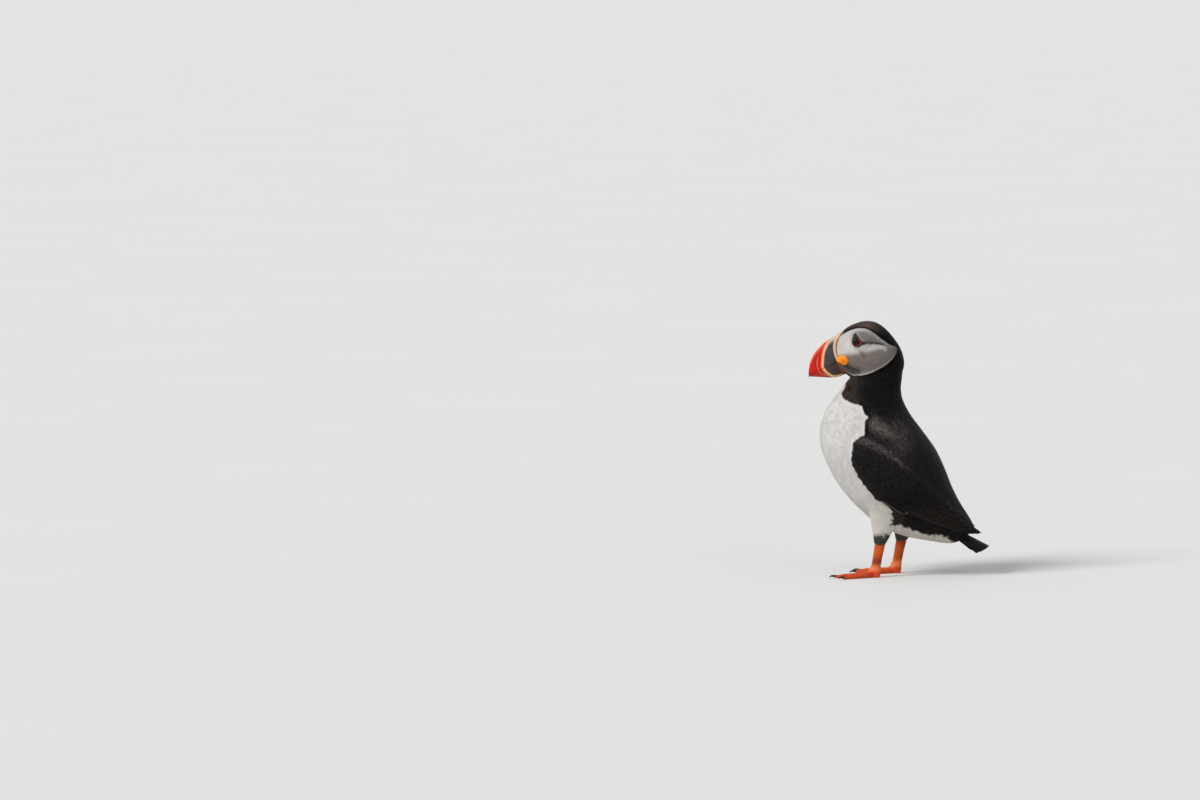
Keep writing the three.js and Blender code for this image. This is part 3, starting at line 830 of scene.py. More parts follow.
def quill_material(name):
    """Flight and tail feathers: slanting barbs each side of the shaft, smooth and a little glossy."""
    s = new_material(name)
    place = s.barb_place()
    across = s.part(place, "X")
    slant = s.part(place, "Y") - abs(across) * 0.55
    barbs = s.noise(s.joined(across * 0.15, slant), 3.2, 3.0, 0.65)
    patches = s.noise(s.object_place(), 160.0, 2.0)
    slits = s.noise(s.joined(across * 0.04, slant), 0.8, 2.0, 0.5)
    light = s.grain(barbs, 0.82, 1.14) * s.grain(patches, 0.92, 1.06) * s.span(slits, 0.6, 0.66, 1.0, 0.62)
    return s.finish(
        Base_Color=s.shade(light),
        Roughness=s.grain(barbs, 0.54, 0.4),
        Normal=s.bump(barbs, 0.12, 0.7),
        Specular_IOR_Level=0.06,
    )


def horn_material(name, gloss, grain, depth):
    """Horn: layered, worn in fine streaks and a little waxy."""
    s = new_material(name)
    streaks = s.noise(s.object_place((1, 1, 0.35)), grain, 4.0, 0.6)
    pits = s.noise(s.object_place(), grain * 3, 2.0)
    return s.finish(
        Base_Color=s.shade(s.grain(streaks, 0.86, 1.1)),
        Roughness=s.grain(pits, gloss, gloss + 0.14),
        Normal=s.bump(streaks + pits * 0.5, depth, 0.5),
        Coat_Weight=s.grain(streaks, 0.06, 0.02),
        Coat_Roughness=0.25,
        Specular_IOR_Level=0.18,
    )


def skin_material():
    """The feathered skin: seen only between feathers, in markings made darker as painted shade."""
    s = new_material("feathered_skin")
    pores = s.seams(s.object_place(), 700.0)
    return s.finish(
        Base_Color=s.shade(s.span(pores, 0.0, 0.4, 0.6, 0.85)),
        Roughness=s.span(pores, 0.0, 0.4, 0.9, 0.75),
        Normal=s.bump(pores, 0.1, 0.5),
        Specular_IOR_Level=0.2,
    )


def leg_material():
    """Bare leg skin: small plates with darker seams, damp on the webs."""
    s = new_material("leg_skin")
    place = s.object_place()
    plates = s.span(s.seams(place, 1000.0), 0.02, 0.16)
    fine = s.noise(place, 900.0)
    return s.finish(
        Base_Color=s.shade(s.span(plates, 0.0, 1.0, 0.86, 1.02) * s.grain(fine, 0.88, 1.08)),
        Roughness=s.grain(fine, 0.36, 0.52),
        Normal=s.bump(plates + fine * 0.5, 0.12, 0.6),
        Subsurface_Weight=0.08,
        Subsurface_Radius=(0.0016, 0.0006, 0.0003),
        Specular_IOR_Level=0.22,
    )


def flesh_material(name, gloss):
    """Soft bare flesh: wrinkled, moist and slightly see-through."""
    s = new_material(name)
    wrinkles = s.noise(s.object_place(), 800.0, 4.0, 0.6)
    return s.finish(
        Base_Color=s.shade(s.grain(wrinkles, 0.84, 1.08)),
        Roughness=s.grain(wrinkles, gloss + 0.14, gloss),
        Normal=s.bump(wrinkles, 0.2, 0.6),
        Subsurface_Weight=0.1,
        Subsurface_Radius=(0.0015, 0.0006, 0.0003),
        Specular_IOR_Level=0.28,
    )


def eye_material():
    """A dark brown iris round a black pupil, under a clear wet cornea."""
    s = new_material("eye")
    rays = s.noise(s.object_place(), 1500.0)
    return s.finish(
        Base_Color=s.shade(s.grain(rays, 0.7, 1.3)),
        Roughness=s.grain(rays, 0.14, 0.2),
        Normal=s.bump(rays, 0.01, 0.2),
        Coat_Weight=s.span(rays, 0.0, 1.0, 1.0, 0.96),
        Coat_Roughness=0.03,
        Coat_IOR=1.24,
        Specular_IOR_Level=0.04,
    )


def floor_material():
    s = new_material("studio_floor")
    marks = s.noise(s.object_place(), 3.0)
    pale = s.mix(marks, rgba(srgb(231, 231, 229)), rgba(srgb(235, 235, 233)))
    return s.finish(Base_Color=pale, Roughness=s.span(marks, 0.0, 1.0, 0.8, 0.9), Specular_IOR_Level=0.2)


def light_the_world(colour, fill):
    """An even pale fill; the camera, mirrors and glass see it as the plain backdrop."""
    s = Shader(bpy.data.worlds.new("studio"))
    camera, mirror, glass = (
        s.node("ShaderNodeLightPath", out=f"Is {ray} Ray") for ray in ("Camera", "Glossy", "Transmission")
    )
    strength = s.span(camera + mirror + glass, 0.0, 1.0, fill, 1.0)
    back = s.node("ShaderNodeBackground", None, {"Color": rgba(colour), "Strength": strength})
    s.node("ShaderNodeOutputWorld", None, {"Surface": back})
    bpy.context.scene.world = s.owner


def dress(piece, material, slot, *replaced):
    """Gives a piece its material, hangs it under the bird's root and hides the frame's parts it replaces.
    """
    piece.data.materials.clear()
    piece.data.materials.append(material)
    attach(piece, "root")
    if replaced:
        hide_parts(*replaced)
    return piece


# ------------------------------------------------------------------ tufts of small feathers

PATCH = 0.003  # side of each tuft's own patch on the coat's unwrap
PIECE_LIMIT = 190_000  # triangles in one piece of the coat
ROOT_ROW, VANE_ROW, STRAND_ROW, TIP_ROW = range(4)
# the root row is darker: painted shade deep in the coat
ROW_TONES = np.array([0.95, 1.0, 1.0, 1.02])  # how light each row of a tuft is
ROW_EDGES = np.array([0, 0, 0.45, 1.0])  # how far each row has turned to the tip's colour
ROOT_BREADTH = 0.45
STRAND_BREADTH = 0.62
STRAND_WIDEST = 0.62  # where along itself a strand is widest
OUTER_SHORTER = 0.16  # how much shorter the outermost strands are


class Roots:
    """Where feathers grow: named columns with one row for each feather."""

    def __init__(self, **columns):
        self.columns = columns

    def __getattr__(self, name):
        return self.columns[name]

    def __len__(self):
        return len(self.columns["spots"])

    def only(self, wanted):
        return Roots(**{name: column[wanted] for name, column in self.columns.items()})

    def also(self, **columns):
        return Roots(**{**self.columns, **columns})


class Coat:
    """Gathers feathers as triangles and turns them into pieces."""

    def __init__(self, name, material, slot):
        self.name, self.material, self.slot = name, material, slot
        self.batches = []

    def add(self, faces, *columns):
        """Feathers of one pattern: places, shade, normals and both maps, a row for each feather."""
        self.batches.append((faces, columns))

    def pieces(self):
        """The batches, cut up so that no piece has too many triangles."""
        groups, size = [[]], 0
        for faces, columns in self.batches:
            first = 0
            while first < len(columns[0]):
                room = (PIECE_LIMIT - size) // len(faces)
                if room <= 0:
                    groups.append([])
                    size = 0
                    continue
                last = min(len(columns[0]), first + room)
                groups[-1].append((faces, [column[first:last] for column in columns]))
                size += (last - first) * len(faces)
                first = last
        return groups

    def make(self):
        """Joins each group of feathers into one mesh and dresses it."""
        groups = self.pieces()
        for number, group in enumerate(groups, 1):
            offset, all_faces = 0, []
            for faces, (places, *_) in group:
                count, corners = places.shape[:2]
                starts = offset + np.arange(count) * corners
                all_faces.append((faces[None] + starts[:, None, None]).reshape(-1, 3))
                offset += count * corners
            places, shade, normals, bake, barbs = (
                np.concatenate([np.reshape(column, (-1, column.shape[-1])) for column in same])
                for same in zip(*(columns for _, columns in group))
            )
            name = self.name if len(groups) == 1 else f"{self.name}_{number}"
            piece = make_mesh(name, places, np.concatenate(all_faces), shade, normals, bake, barbs)
            dress(piece, self.material, self.slot)


def comb(strands):
    """The pattern of one tuft: a vane that splits into strands. Gives its faces and its layout.

    The layout has, for each corner, its row, its strand, its place across from -1 to 1, and which
    edge of its strand it is on.
    """
    layout = [(ROOT_ROW, 0, -1.0, 0), (ROOT_ROW, strands - 1, 1.0, 0)]
    layout += [(VANE_ROW, min(j, strands - 1), 2 * j / strands - 1, 0) for j in range(strands + 1)]
    faces = [(0, 2 + j, 3 + j) for j in range(strands)] + [(0, 2 + strands, 1)]
    for k in range(strands):
        middle = (2 * k + 1) / strands - 1
        low = len(layout)
        layout += [(STRAND_ROW, k, middle, -1), (STRAND_ROW, k, middle, 1), (TIP_ROW, k, middle, 0)]
        faces += [(2 + k, low, low + 1), (2 + k, low + 1, 3 + k), (low, low + 2, low + 1)]
    return np.array(faces), np.array(layout)


def rooted(roots):
    """The tufts that can be grown, with the places on the body where each one's vane and end lie.

    One that would double up, or bridge a gap where the body ends, isn't grown.
    """
    end, end_up = guide.nearest(roots.spots + roots.headings * roots.length[:, None])
    mid, _ = guide.nearest(roots.spots + roots.headings * (roots.length / 2)[:, None])
    near_rump = smooth(50, 60, roots.spots[:, 0])
    open_out = np.linalg.norm(end - roots.spots, axis=1) > lerp(0.7, 0.93, near_rump) * roots.length
    sag = np.linalg.norm(mid - (roots.spots + end) / 2, axis=1)
    wanted = open_out & (sag < lerp(0.4, 0.13, near_rump) * roots.length)
    return roots.also(mid=mid, end=end, end_up=end_up).only(wanted)


def tufts(coat, roots, strands, lift, ragged, split=0.5, streak=None, painted=None, unwrap=unwrapped):
    """Grows one tuft at each root, from the skin to the coat's surface.

    lift is how far tufts stand out at random, ragged how uneven their strands end, split where the
    vane parts into strands, streak a colour that some strands take on, and painted gives the
    markings' own colour for places beside a clean edge.
    """
    roots = rooted(roots)
    count = len(roots)
    faces, layout = comb(strands)
    row, strand, across, edge = layout.T
    row, strand = row.astype(int), strand.astype(int)

    strand_tip = 1 - OUTER_SHORTER * (2 * (np.arange(strands) + 0.5) / strands - 1) ** 2
    strand_tip = strand_tip - ragged * rng.random((count, strands))
    tip = strand_tip[:, strand]
    widest = split + STRAND_WIDEST * (tip - split)
    t = np.choose(row, [np.zeros_like(tip), np.full_like(tip, split), widest, tip])
    breadth = roots.width[:, None] / 2
    beside = edge * STRAND_BREADTH / strands
    stray = rng.normal(0, 0.35 / strands, (count, strands))[:, strand] * (row == TIP_ROW)
    side_step = (across * np.where(row == ROOT_ROW, ROOT_BREADTH, 1) + beside + stray) * breadth
    rise = -roots.depth[:, None] * (1 - t) ** 2.6
    loose = rng.random((count, 1)) * t**2
    rise += lift * (loose + 0.5 * rng.random((count, strands))[:, strand] * (row > VANE_ROW))
    rise -= 0.05 * breadth * across**2
    rise += roots.proud[:, None] * smooth(0, 0.5, t)

    t = t[..., None]
    spots, mid, end = roots.spots[:, None], roots.mid[:, None], roots.end[:, None]
    centre = spots * (1 - t) * (1 - 2 * t) + mid * 4 * t * (1 - t) + end * t * (2 * t - 1)
    forward = spots * (4 * t - 3) + mid * (4 - 8 * t) + end * (4 * t - 1)
    up = unit(lerp(roots.ups[:, None], roots.end_up[:, None], t))
    aside = unit(np.cross(up, forward))
    places = centre + aside * side_step[..., None] + up * rise[..., None]
    tilt = 0.14 * edge[None, :, None] + 0.06 * across[None, :, None]
    pitch = rng.normal(0, 0.03, (count, strands))[:, strand][..., None]
    normals = unit(up + aside * tilt + unit(forward) * pitch)

    tone = 1 + rng.normal(0, 0.012, (count, 1)) + rng.normal(0, 0.02, (count, strands))[:, strand]
    tone = tone * ROW_TONES[row]
    colour = blend(roots.shade[:, None], roots.tip_shade[:, None], ROW_EDGES[row])
    if streak is not None:
        share = roots.streaked[:, None] * rng.random((count, strands))[:, strand] ** 2
        colour = blend(colour, streak, share * (row > ROOT_ROW))
    if painted is not None:
        near = painted(places.reshape(-1, 3)).reshape(colour.shape)
        near[:, row == ROOT_ROW] = near[:, row == VANE_ROW].mean(1, keepdims=True)
        colour = np.where(np.isnan(near), colour, near)
    colour = np.clip(colour * tone[..., None], 0, 1)

    local = np.stack([np.broadcast_to(across + beside, t.shape[:2]), t[..., 0] * 2 - 1], -1)
    flat = unwrap(roots.spots - roots.ups * roots.depth[:, None])
    bake = flat[:, None] + local * PATCH * 0.5
    barbs = np.stack([side_step, t[..., 0] * roots.length[:, None]], -1) + rng.random((count, 1, 2)) * 50
    coat.add(faces, places, colour, normals, bake, barbs)


# ------------------------------------------------------------------ single long feathers

SHEET_ROWS, SHEET_COLUMNS = 20, 8
VANE_CAMBER, VANE_THICKNESS, VANE_NOTCHES = 0.25, 0.45, 0.05
SHAFT_RIDGE = 0.14


def sheet_pattern(rows, columns):
    """A thin closed sheet: an upper and a lower grid that share their rim."""

    def corner(i, j, lower):
        rim = i in (0, rows) or j in (0, columns)
        return i * (columns + 1) + j + (0 if rim or not lower else (rows + 1) * (columns + 1))

    faces = []
    for i in range(rows):
        for j in range(columns):
            square = ((i, j), (i + 1, j), (i + 1, j + 1), (i, j + 1))
            for lower in (False, True):
                p, q, r, s = (corner(*place, lower) for place in square)
                faces += [(p, r, q), (p, s, r)] if lower else [(p, q, r), (p, r, s)]
    return np.array(faces)


SHEET_FACES = sheet_pattern(SHEET_ROWS, SHEET_COLUMNS)


def feather_outline(t, point, base=0.45):
    """A feather's breadth along its shaft, 0 to 1: widening from its base to a rounded tip."""
    body = base + (1 - base) * np.sin(np.clip(t / 0.55, 0, 1) * math.pi / 2)
    return body * np.sqrt(np.clip(1 - np.clip((t - point) / (1 - point), 0, 1) ** 2, 0, 1))


def long_feather(coat, place_at, shaft, breadth, lead, lift, shade, edge_shade, edge_width, flat,
                 point, roll, tuck):
    """One flight or tail feather laid on a surface.

    place_at gives the surface's points and normals for a flat drawing of the feather, shaft is its
    centre line there, breadth its full width, lead the share of it on the leading side, flat its place
    on the coat's unwrap, point where along it the tip rounds off, roll how far it leans to one side
    and tuck how deep its base is sunk.
    """
    t, s = np.linspace(0, 1, SHEET_ROWS + 1), np.linspace(-1, 1, SHEET_COLUMNS + 1)
    run, across = np.repeat(t, len(s)), np.tile(s, len(t))
    line = through(shaft, len(t))
    heading = unit(np.gradient(line, axis=0))
    aside = np.stack([-heading[:, 1], heading[:, 0]], 1)
    share = np.where(s < 0, lead, 1 - lead) * s
    half = breadth * feather_outline(t, point)
    nick = 1 - VANE_NOTCHES * rng.random((len(t), len(s))) * (np.abs(s) == 1)
    drawn = line[:, None] + aside[:, None] * (half[:, None] * share * nick)[..., None]
    spots, ups = place_at(drawn.reshape(-1, 2))

    dome = 1 - across**2
    rise = lift + VANE_CAMBER * dome - roll * across - tuck * (1 - run) ** 3
    ridge = SHAFT_RIDGE * (across == 0) * (1 - 0.7 * run)
    top = spots + ups * (rise + ridge)[:, None]
    under = spots + ups * (rise - VANE_THICKNESS * np.sqrt(dome))[:, None]
    places = np.concatenate([top, under])
    grid = top.reshape(len(t), len(s), 3)
    facing = unit(np.cross(np.gradient(grid, axis=0), np.gradient(grid, axis=1))).reshape(-1, 3)
    outward = np.sign((facing * ups).sum())
    normals = np.concatenate([unit(facing * outward + 0.35 * ups), -ups])

    width_here = np.repeat(half, len(s))
    from_rim = (1 - np.abs(across)) * width_here * 0.5
    from_end = (1 - run) * breadth * 1.6
    edge = smooth(edge_width * 1.7, edge_width * 0.4, np.minimum(from_rim, from_end))
    shaft_light = 1 + 0.25 * (across == 0) * smooth(1, 0.3, run)
    colour = blend(shade, edge_shade, edge) * shaft_light[:, None] * (1 + rng.normal(0, 0.03))
    # the underside's copy of the colour is darker: painted shade
    colour = np.clip(np.concatenate([colour, colour * 0.8]), 0, 1)

    local = np.stack([across, run * 2 - 1], 1) * PATCH * 0.5
    bake = np.concatenate([flat + local, flat + local * 0.96])
    shaft_length = np.linalg.norm(np.diff(line, axis=0), axis=1).sum()
    barbs = np.stack([across * width_here / 2, run * shaft_length], 1)
    barbs = np.concatenate([barbs, barbs]) + rng.random(2) * 60
    faces = SHEET_FACES if outward > 0 else SHEET_FACES[:, ::-1]
    coat.add(faces, places[None], colour[None], normals[None], bake[None], barbs[None])


# ------------------------------------------------------------------ legs and skin

FOOT_TOP = 7.5
TOES = {"inner": (-30, 23), "middle": (-3, 35), "outer": (21, 34)}  # degrees from forwards, length
FOOT_TURN = {"left": 9, "right": 5}
TOE_SCUTE, SHAFT_SCUTE = 1.5, 1.7
LEG_GROW, LEG_VOXEL, LEG_SMOOTHING = 0.3, 0.4, 8
LEG_SINK = 0.22  # from the smoothed legs back to their own thickness
SOCKET_DEPTH = 2.2
LEG_LIT = srgb(206, 88, 14)
LEG_SHADE = srgb(150, 52, 6)
TOE_CORAL = srgb(222, 90, 36)
TOE_LIT = srgb(246, 146, 92)
TOE_RED = srgb(192, 54, 12)
WEB_CORAL = srgb(236, 98, 62)
WEB_RED = srgb(192, 40, 16)
LEG_SEAM = srgb(112, 42, 14)
SOLE_BROWN = srgb(158, 88, 52)
LID_GREY = srgb(42, 38, 40)


def foot_joint(name):
    """Where a foot's toes meet, on the floor plan."""
    low, high = box_mm(f"tarsus_{name}")
    return np.array([(low[0] + high[0]) / 2 - 2.6, (low[1] + high[1]) / 2])


def scutes(run, step, sway=0):
    """A row of small plates, each one step long, that are highest in their middle."""
    return np.abs(np.sin(run * math.pi / step + sway)) ** 0.5 - 0.6


def leg_relief(name, places):
    """How far the scutes and knuckles of a leg stand out, and how much web each place is."""
    plan, z = places[:, :2], places[:, 2]
    joint = foot_joint(name)
    relief = np.zeros(len(places))
    web = np.ones(len(places))
    for angle, length in TOES.values():
        turn = math.radians(angle + FOOT_TURN[name])
        heading = np.array([-math.cos(turn), SIDES[name] * math.sin(turn)])
        gap = plan - joint
        run = gap @ heading
        off = np.abs(gap @ np.array([-heading[1], heading[0]]))
        on_toe = smooth(3.0, 1.9, off) * smooth(-3, 2, run) * smooth(length + 6, length, run)
        on_top = smooth(0.8, 2.2, z) * smooth(FOOT_TOP + 5, FOOT_TOP, z)
        knuckles = bump_of((run / length * 3) % 1 - 0.5, 0.2)
        relief += on_toe * on_top * (0.16 * scutes(run, TOE_SCUTE) + 0.28 * knuckles)
        web = np.minimum(web, smooth(1.8, 3.2, off + smooth(0, -3, run) * 9))
    on_shaft = smooth(FOOT_TOP - 1, FOOT_TOP + 3, z)
    relief += 0.15 * on_shaft * scutes(z, SHAFT_SCUTE, 0.4 * np.sin(places[:, 0]))
    web = web * smooth(FOOT_TOP - 0.5, FOOT_TOP - 3, z) * smooth(0.5, 4, joint[0] - plan[:, 0])
    folds = np.sin(plan @ np.array([0.55, 1.9]) * 1.3) * np.sin(plan @ np.array([1.9, -0.3]))
    relief += 0.07 * web * smooth(0.5, 1, z) * folds
    return relief, web


def leg_surface(name):
    nodes = [f"tarsus_{name}", f"foot_{name}"]
    places, faces, normals = resurfaced(nodes, LEG_GROW, LEG_VOXEL, LEG_SMOOTHING)
    places = places - normals * LEG_SINK
    relief, _ = leg_relief(name, places)
    places = places + normals * relief[:, None]
    places[:, 2] = np.maximum(places[:, 2], 0)
    return places, faces


def leg_colour(places):
    """Orange shafts, and coral toes and webs that redden in patches, with brown seams and soles."""
    shade = np.zeros((len(places), 3))
    for name, side in SIDES.items():
        mine = places[:, 1] * side > 0
        spots = places[mine]
        z = spots[:, 2]
        relief, web = leg_relief(name, spots)
        toes = blend(TOE_CORAL, TOE_RED, uneven(spots, 5, 23, 0.35, 0.6))
        webs = blend(WEB_CORAL, WEB_RED, uneven(spots, 5, 22, 0.4, 0.6))
        tone = blend(LEG_LIT, LEG_SHADE, uneven(spots, 6, 21, 0.5, 0.6))
        tone = blend(tone, toes, smooth(12, 7, z))
        tone = blend(tone, webs, web)
        tone = blend(tone, TOE_LIT, 0.5 * smooth(4.5, 7, z) * smooth(14, 9, z) * (1 - web))
        tone = blend(tone, WEB_RED, 0.9 * bump_of(web - 0.35, 0.25) * smooth(8, 6, z))
        tone = blend(tone, LEG_SEAM, 0.45 * smooth(0.02, -0.12, relief) * (1 - web))
        tone = blend(tone, LEG_SEAM, 0.5 * smooth(26, 35, z + 2 * wobble(spots, 4, 24)))
        shade[mine] = blend(tone, SOLE_BROWN, 0.8 * smooth(0.7, 0.05, z))
    return shade


def on_bare_leg(places):
    found = np.zeros(len(places), bool)
    for name in SIDES:
        low, high = box_mm(f"tarsus_{name}")
        near = np.abs(places[:, 1] - (low[1] + high[1]) / 2) < 30
        found |= near & (places[:, 2] < high[2] + 1)
    return found


def make_skin():
    """One skin over body, legs and webs, which lies under the coat and dips into the eyes' sockets."""
    depth = coat_depth(form.places) * lerp(1, WING_THINNING, wing_share(form.places))
    depth += SOCKET_DEPTH * smooth(-0.6, 0.4, beside_eye(form.places))
    body = make_mesh("skin", form.places - form.normals * depth[:, None], form.faces)
    legs = [make_mesh(f"leg_{name}", *leg_surface(name)) for name in SIDES]
    for leg in legs:
        join = body.modifiers.new(leg.name, "BOOLEAN")
        join.operation = "UNION"
        join.solver = "MANIFOLD"
        join.object = leg
    places, faces, _ = corners_of(body.evaluated_get(bpy.context.evaluated_depsgraph_get()).data)
    for used in (*legs, body):
        bpy.data.objects.remove(used)

    places = places.astype(float)
    bare = on_bare_leg(places)
    # the skin carries the markings made darker: painted shade deep between the feathers
    shade = 0.85 * plumage_colour(places, regions(places), wing_share(places))
    shade = blend(shade, LID_GREY, smooth(-2.2, -1.4, beside_eye(places)))
    shade[bare] = leg_colour(places[bare])
    skin = make_mesh("skin", places, faces, shade)
    dress(skin, skin_material(), "leg_skin", *FLESH, *BARE, "foot_left", "foot_right")
    skin.data.materials.append(leg_material())
    skin.data.polygons.foreach_set("material_index", bare[faces].all(1).astype(np.int32))


# ------------------------------------------------------------------ bill

UPPER_BILL = [  # ridge x, z, mouth x, z, half width
    (-46, 218, -50, 196.5, 7.6), (-52.5, 220.2, -57, 193.4, 7.6), (-59, 216.6, -61, 191.7, 7.2),
    (-66, 212.2, -65, 189.9, 6.5), (-73, 206.5, -69.5, 187.8, 5.5), (-78.8, 199.4, -74, 185.4, 4.3),
    (-82, 192, -77.5, 183.3, 3.1), (-83.3, 185, -80.3, 181.5, 1.9), (-83.2, 180.4, -81.6, 180.2, 0.9),
    (-82.8, 179, -82.3, 179.1, 0.2),
]
LOWER_BILL = [  # mouth x, z, keel x, z, half width
    (-44, 196.6, -43, 184.5, 6.6), (-57, 193.4, -50, 182, 7.3), (-61, 191.7, -56, 179.4, 6.9),
    (-65, 189.9, -62, 178.8, 6.2), (-69.5, 187.8, -68, 178.9, 5.2), (-74, 185.4, -73.3, 179.1, 4),
    (-77.5, 183.3, -77.3, 179.3, 2.8), (-80.4, 181.4, -80.4, 179.5, 1.4), (-81.3, 180.4, -81.2, 179.9, 0.3),
]
BILL_ROWS, BILL_AROUND = 200, 120
RIDGE_SHARE = {"upper": 0.36, "lower": 0.55}  # how broad the ridge is beside the mouth
BAND = through(
    [
        (-64, 211.6), (-68.5, 202), (-69.6, 195.1), (-70, 189.2), (-69.2, 187), (-66.8, 184),
        (-63, 181.1), (-60, 179.9),
    ],
    420,
)
RIM = through([(-60, 179.9), (-55.5, 180.4), (-49.4, 182.4)], 120)
GROOVE = through(
    [
        (-73.4, 200.6), (-74.6, 195.6), (-74.9, 190.2), (-73.4, 185.3), (-71, 182.6), (-67, 180.9),
        (-62.8, 180.2),
    ],
    320,
)
SECOND_GROOVE = through([(-77.2, 196), (-78.6, 191), (-78.4, 186.6), (-76.6, 183.2), (-74, 181)], 240)
CERE = through([(-54.6, 217.6), (-58.3, 211.3), (-59.4, 205.9), (-58.6, 199.9), (-56.7, 194.6)], 320)
JAW_BASE = through([(-57.4, 193.6), (-55.8, 190.8), (-53.1, 186.4), (-49.2, 182.2)], 160)
CULMEN = through([(row[0] + NAPE_X, row[1]) for row in UPPER_BILL[1:5]], 120)
TIP_RED = srgb(204, 26, 4)
TIP_DEEP = srgb(132, 12, 3)
TIP_HIGHLIGHT_ORANGE = srgb(238, 88, 40)
TIP_DULL = srgb(156, 66, 44)
TIP_DARK = srgb(52, 26, 22)
BAND_CREAM = srgb(218, 176, 132)
BAND_ORANGE = srgb(226, 112, 48)
GROOVE_PALE = srgb(204, 178, 162)
SLATE = srgb(68, 61, 63)
SLATE_LOW = srgb(76, 62, 54)
SLATE_TOP = srgb(196, 180, 164)
SLATE_DARK = srgb(46, 39, 38)
CERE_CREAM = srgb(204, 180, 150)
CERE_ORANGE = srgb(158, 84, 44)
CERE_BACK = srgb(186, 160, 136)
JAW_RED = srgb(150, 58, 24)


def bill_outline(half):
    """A half of the bill as rows of places, from its left lip over its ridge to its right lip."""
    sections = through(UPPER_BILL if half == "upper" else LOWER_BILL, BILL_ROWS)
    top, bottom, width = sections[:, None, :2], sections[:, None, 2:4], sections[:, 4:]
    ridge, lip = (top, bottom) if half == "upper" else (bottom, top)
    angle = np.linspace(0, math.pi, BILL_AROUND)
    height = np.sin(angle) ** 0.8
    narrow = lerp(1, RIDGE_SHARE[half], height**1.4) * np.sqrt(1 - height**16 * 0.999)
    line = lip + (ridge - lip) * height[:, None]
    return np.stack([line[..., 0] + NAPE_X, -np.sign(np.cos(angle)) * narrow * width, line[..., 1]], -1)


def bill_marks(places, half):
    """A bill half's relief and colour at each place."""
    x, y, z = places.T
    upper = half == "upper"
    band, groove, second, cere, jaw, rim = (
        away_from(line, x, z) for line in (BAND, GROOVE, SECOND_GROOVE, CERE, JAW_BASE, RIM)
    )
    beyond = inside(np.concatenate([BAND, [(-100, 170), (-100, 225), (-64, 225)]]), x, z)
    deep = np.where(beyond, band, -band)  # how far towards the tip from the pale band

    low_down = smooth(199, 192, z)
    relief = 0.4 * bump_of(band, 1.1) + 0.05 * np.sin(deep * 2.4) * (deep < -2)
    relief -= (0.4 * bump_of(groove, 0.55) + 0.3 * bump_of(second, 0.5)) * low_down
    relief += 0.2 * bump_of(groove - 1.4, 0.7) * low_down
    if upper:
        relief += 0.6 * bump_of(cere, 1.0) - 0.25 * bump_of(cere - 1.9, 0.5)
    else:
        relief += 0.3 * bump_of(rim, 0.9) + 0.2 * bump_of(jaw, 0.7)

    red = blend(TIP_RED, TIP_DEEP, 0.5 * bump_of(groove - 1.6, 1.1) * (deep > 4))
    # a painted highlight along the ridge of the red tip
    red = blend(red, TIP_HIGHLIGHT_ORANGE, 0.7 * smooth(2.2, 1.2, np.abs(y)) * smooth(188, 196, z))
    red = blend(red, TIP_DEEP, 0.5 * smooth(188, 181, z) * smooth(-74, -79, x))
    if not upper:
        red = blend(red, TIP_DULL, 0.6 * smooth(186, 182, z))
    red = blend(red, TIP_DEEP, 0.45 * smooth(4.2, 2.2, deep) * smooth(1.4, 2.2, deep))

    lit = upper * smooth(4.2, 1.2, away_from(CULMEN, x, z)) * smooth(-69, -64, x)
    shade = blend(SLATE if upper else SLATE_LOW, SLATE_TOP, lit)
    shade = blend(shade, SLATE_DARK, smooth(203, 193, z) * smooth(-66, -59, x) * (0.8 if upper else 0.55))
    shade = blend(shade, red, smooth(0.3, 1.2, deep))
    shade = blend(shade, BAND_CREAM, smooth(1.2, 0.7, np.abs(deep + 0.1)))
    shade = blend(shade, BAND_ORANGE, 0.85 * smooth(0.8, 0.3, np.abs(deep - 1.15)))
    past_band = deep > 1.5
    shade = blend(shade, GROOVE_PALE, 0.4 * smooth(0.45, 0.2, groove) * past_band * smooth(198.5, 194.5, z))
    shade = blend(shade, TIP_DEEP, 0.6 * smooth(0.6, 0.3, second) * past_band)
    shade = blend(shade, TIP_DARK, 0.85 * smooth(-79.6, -81.6, x) * smooth(185, 181, z))
    if upper:
        behind = inside(np.concatenate([CERE, [(-30, 190), (-30, 225)]]), x, z)
        shade = blend(shade, CERE_BACK, behind)
        shade = blend(shade, CERE_CREAM, smooth(1.3, 0.75, cere))
        shade = blend(shade, CERE_ORANGE, smooth(0.75, 0.35, np.abs(cere - 1.6)) * behind)
    else:
        chin = inside(np.concatenate([JAW_BASE, [(-30, 182), (-30, 192)]]), x, z)
        shade = blend(shade, BAND_CREAM, 0.9 * smooth(1.3, 0.7, rim) * smooth(182.6, 181.6, z))
        shade = blend(shade, CHIN_GREY_AND_SHADE, chin)
        shade = blend(shade, JAW_RED, smooth(0.8, 0.35, jaw))
    return relief, shade


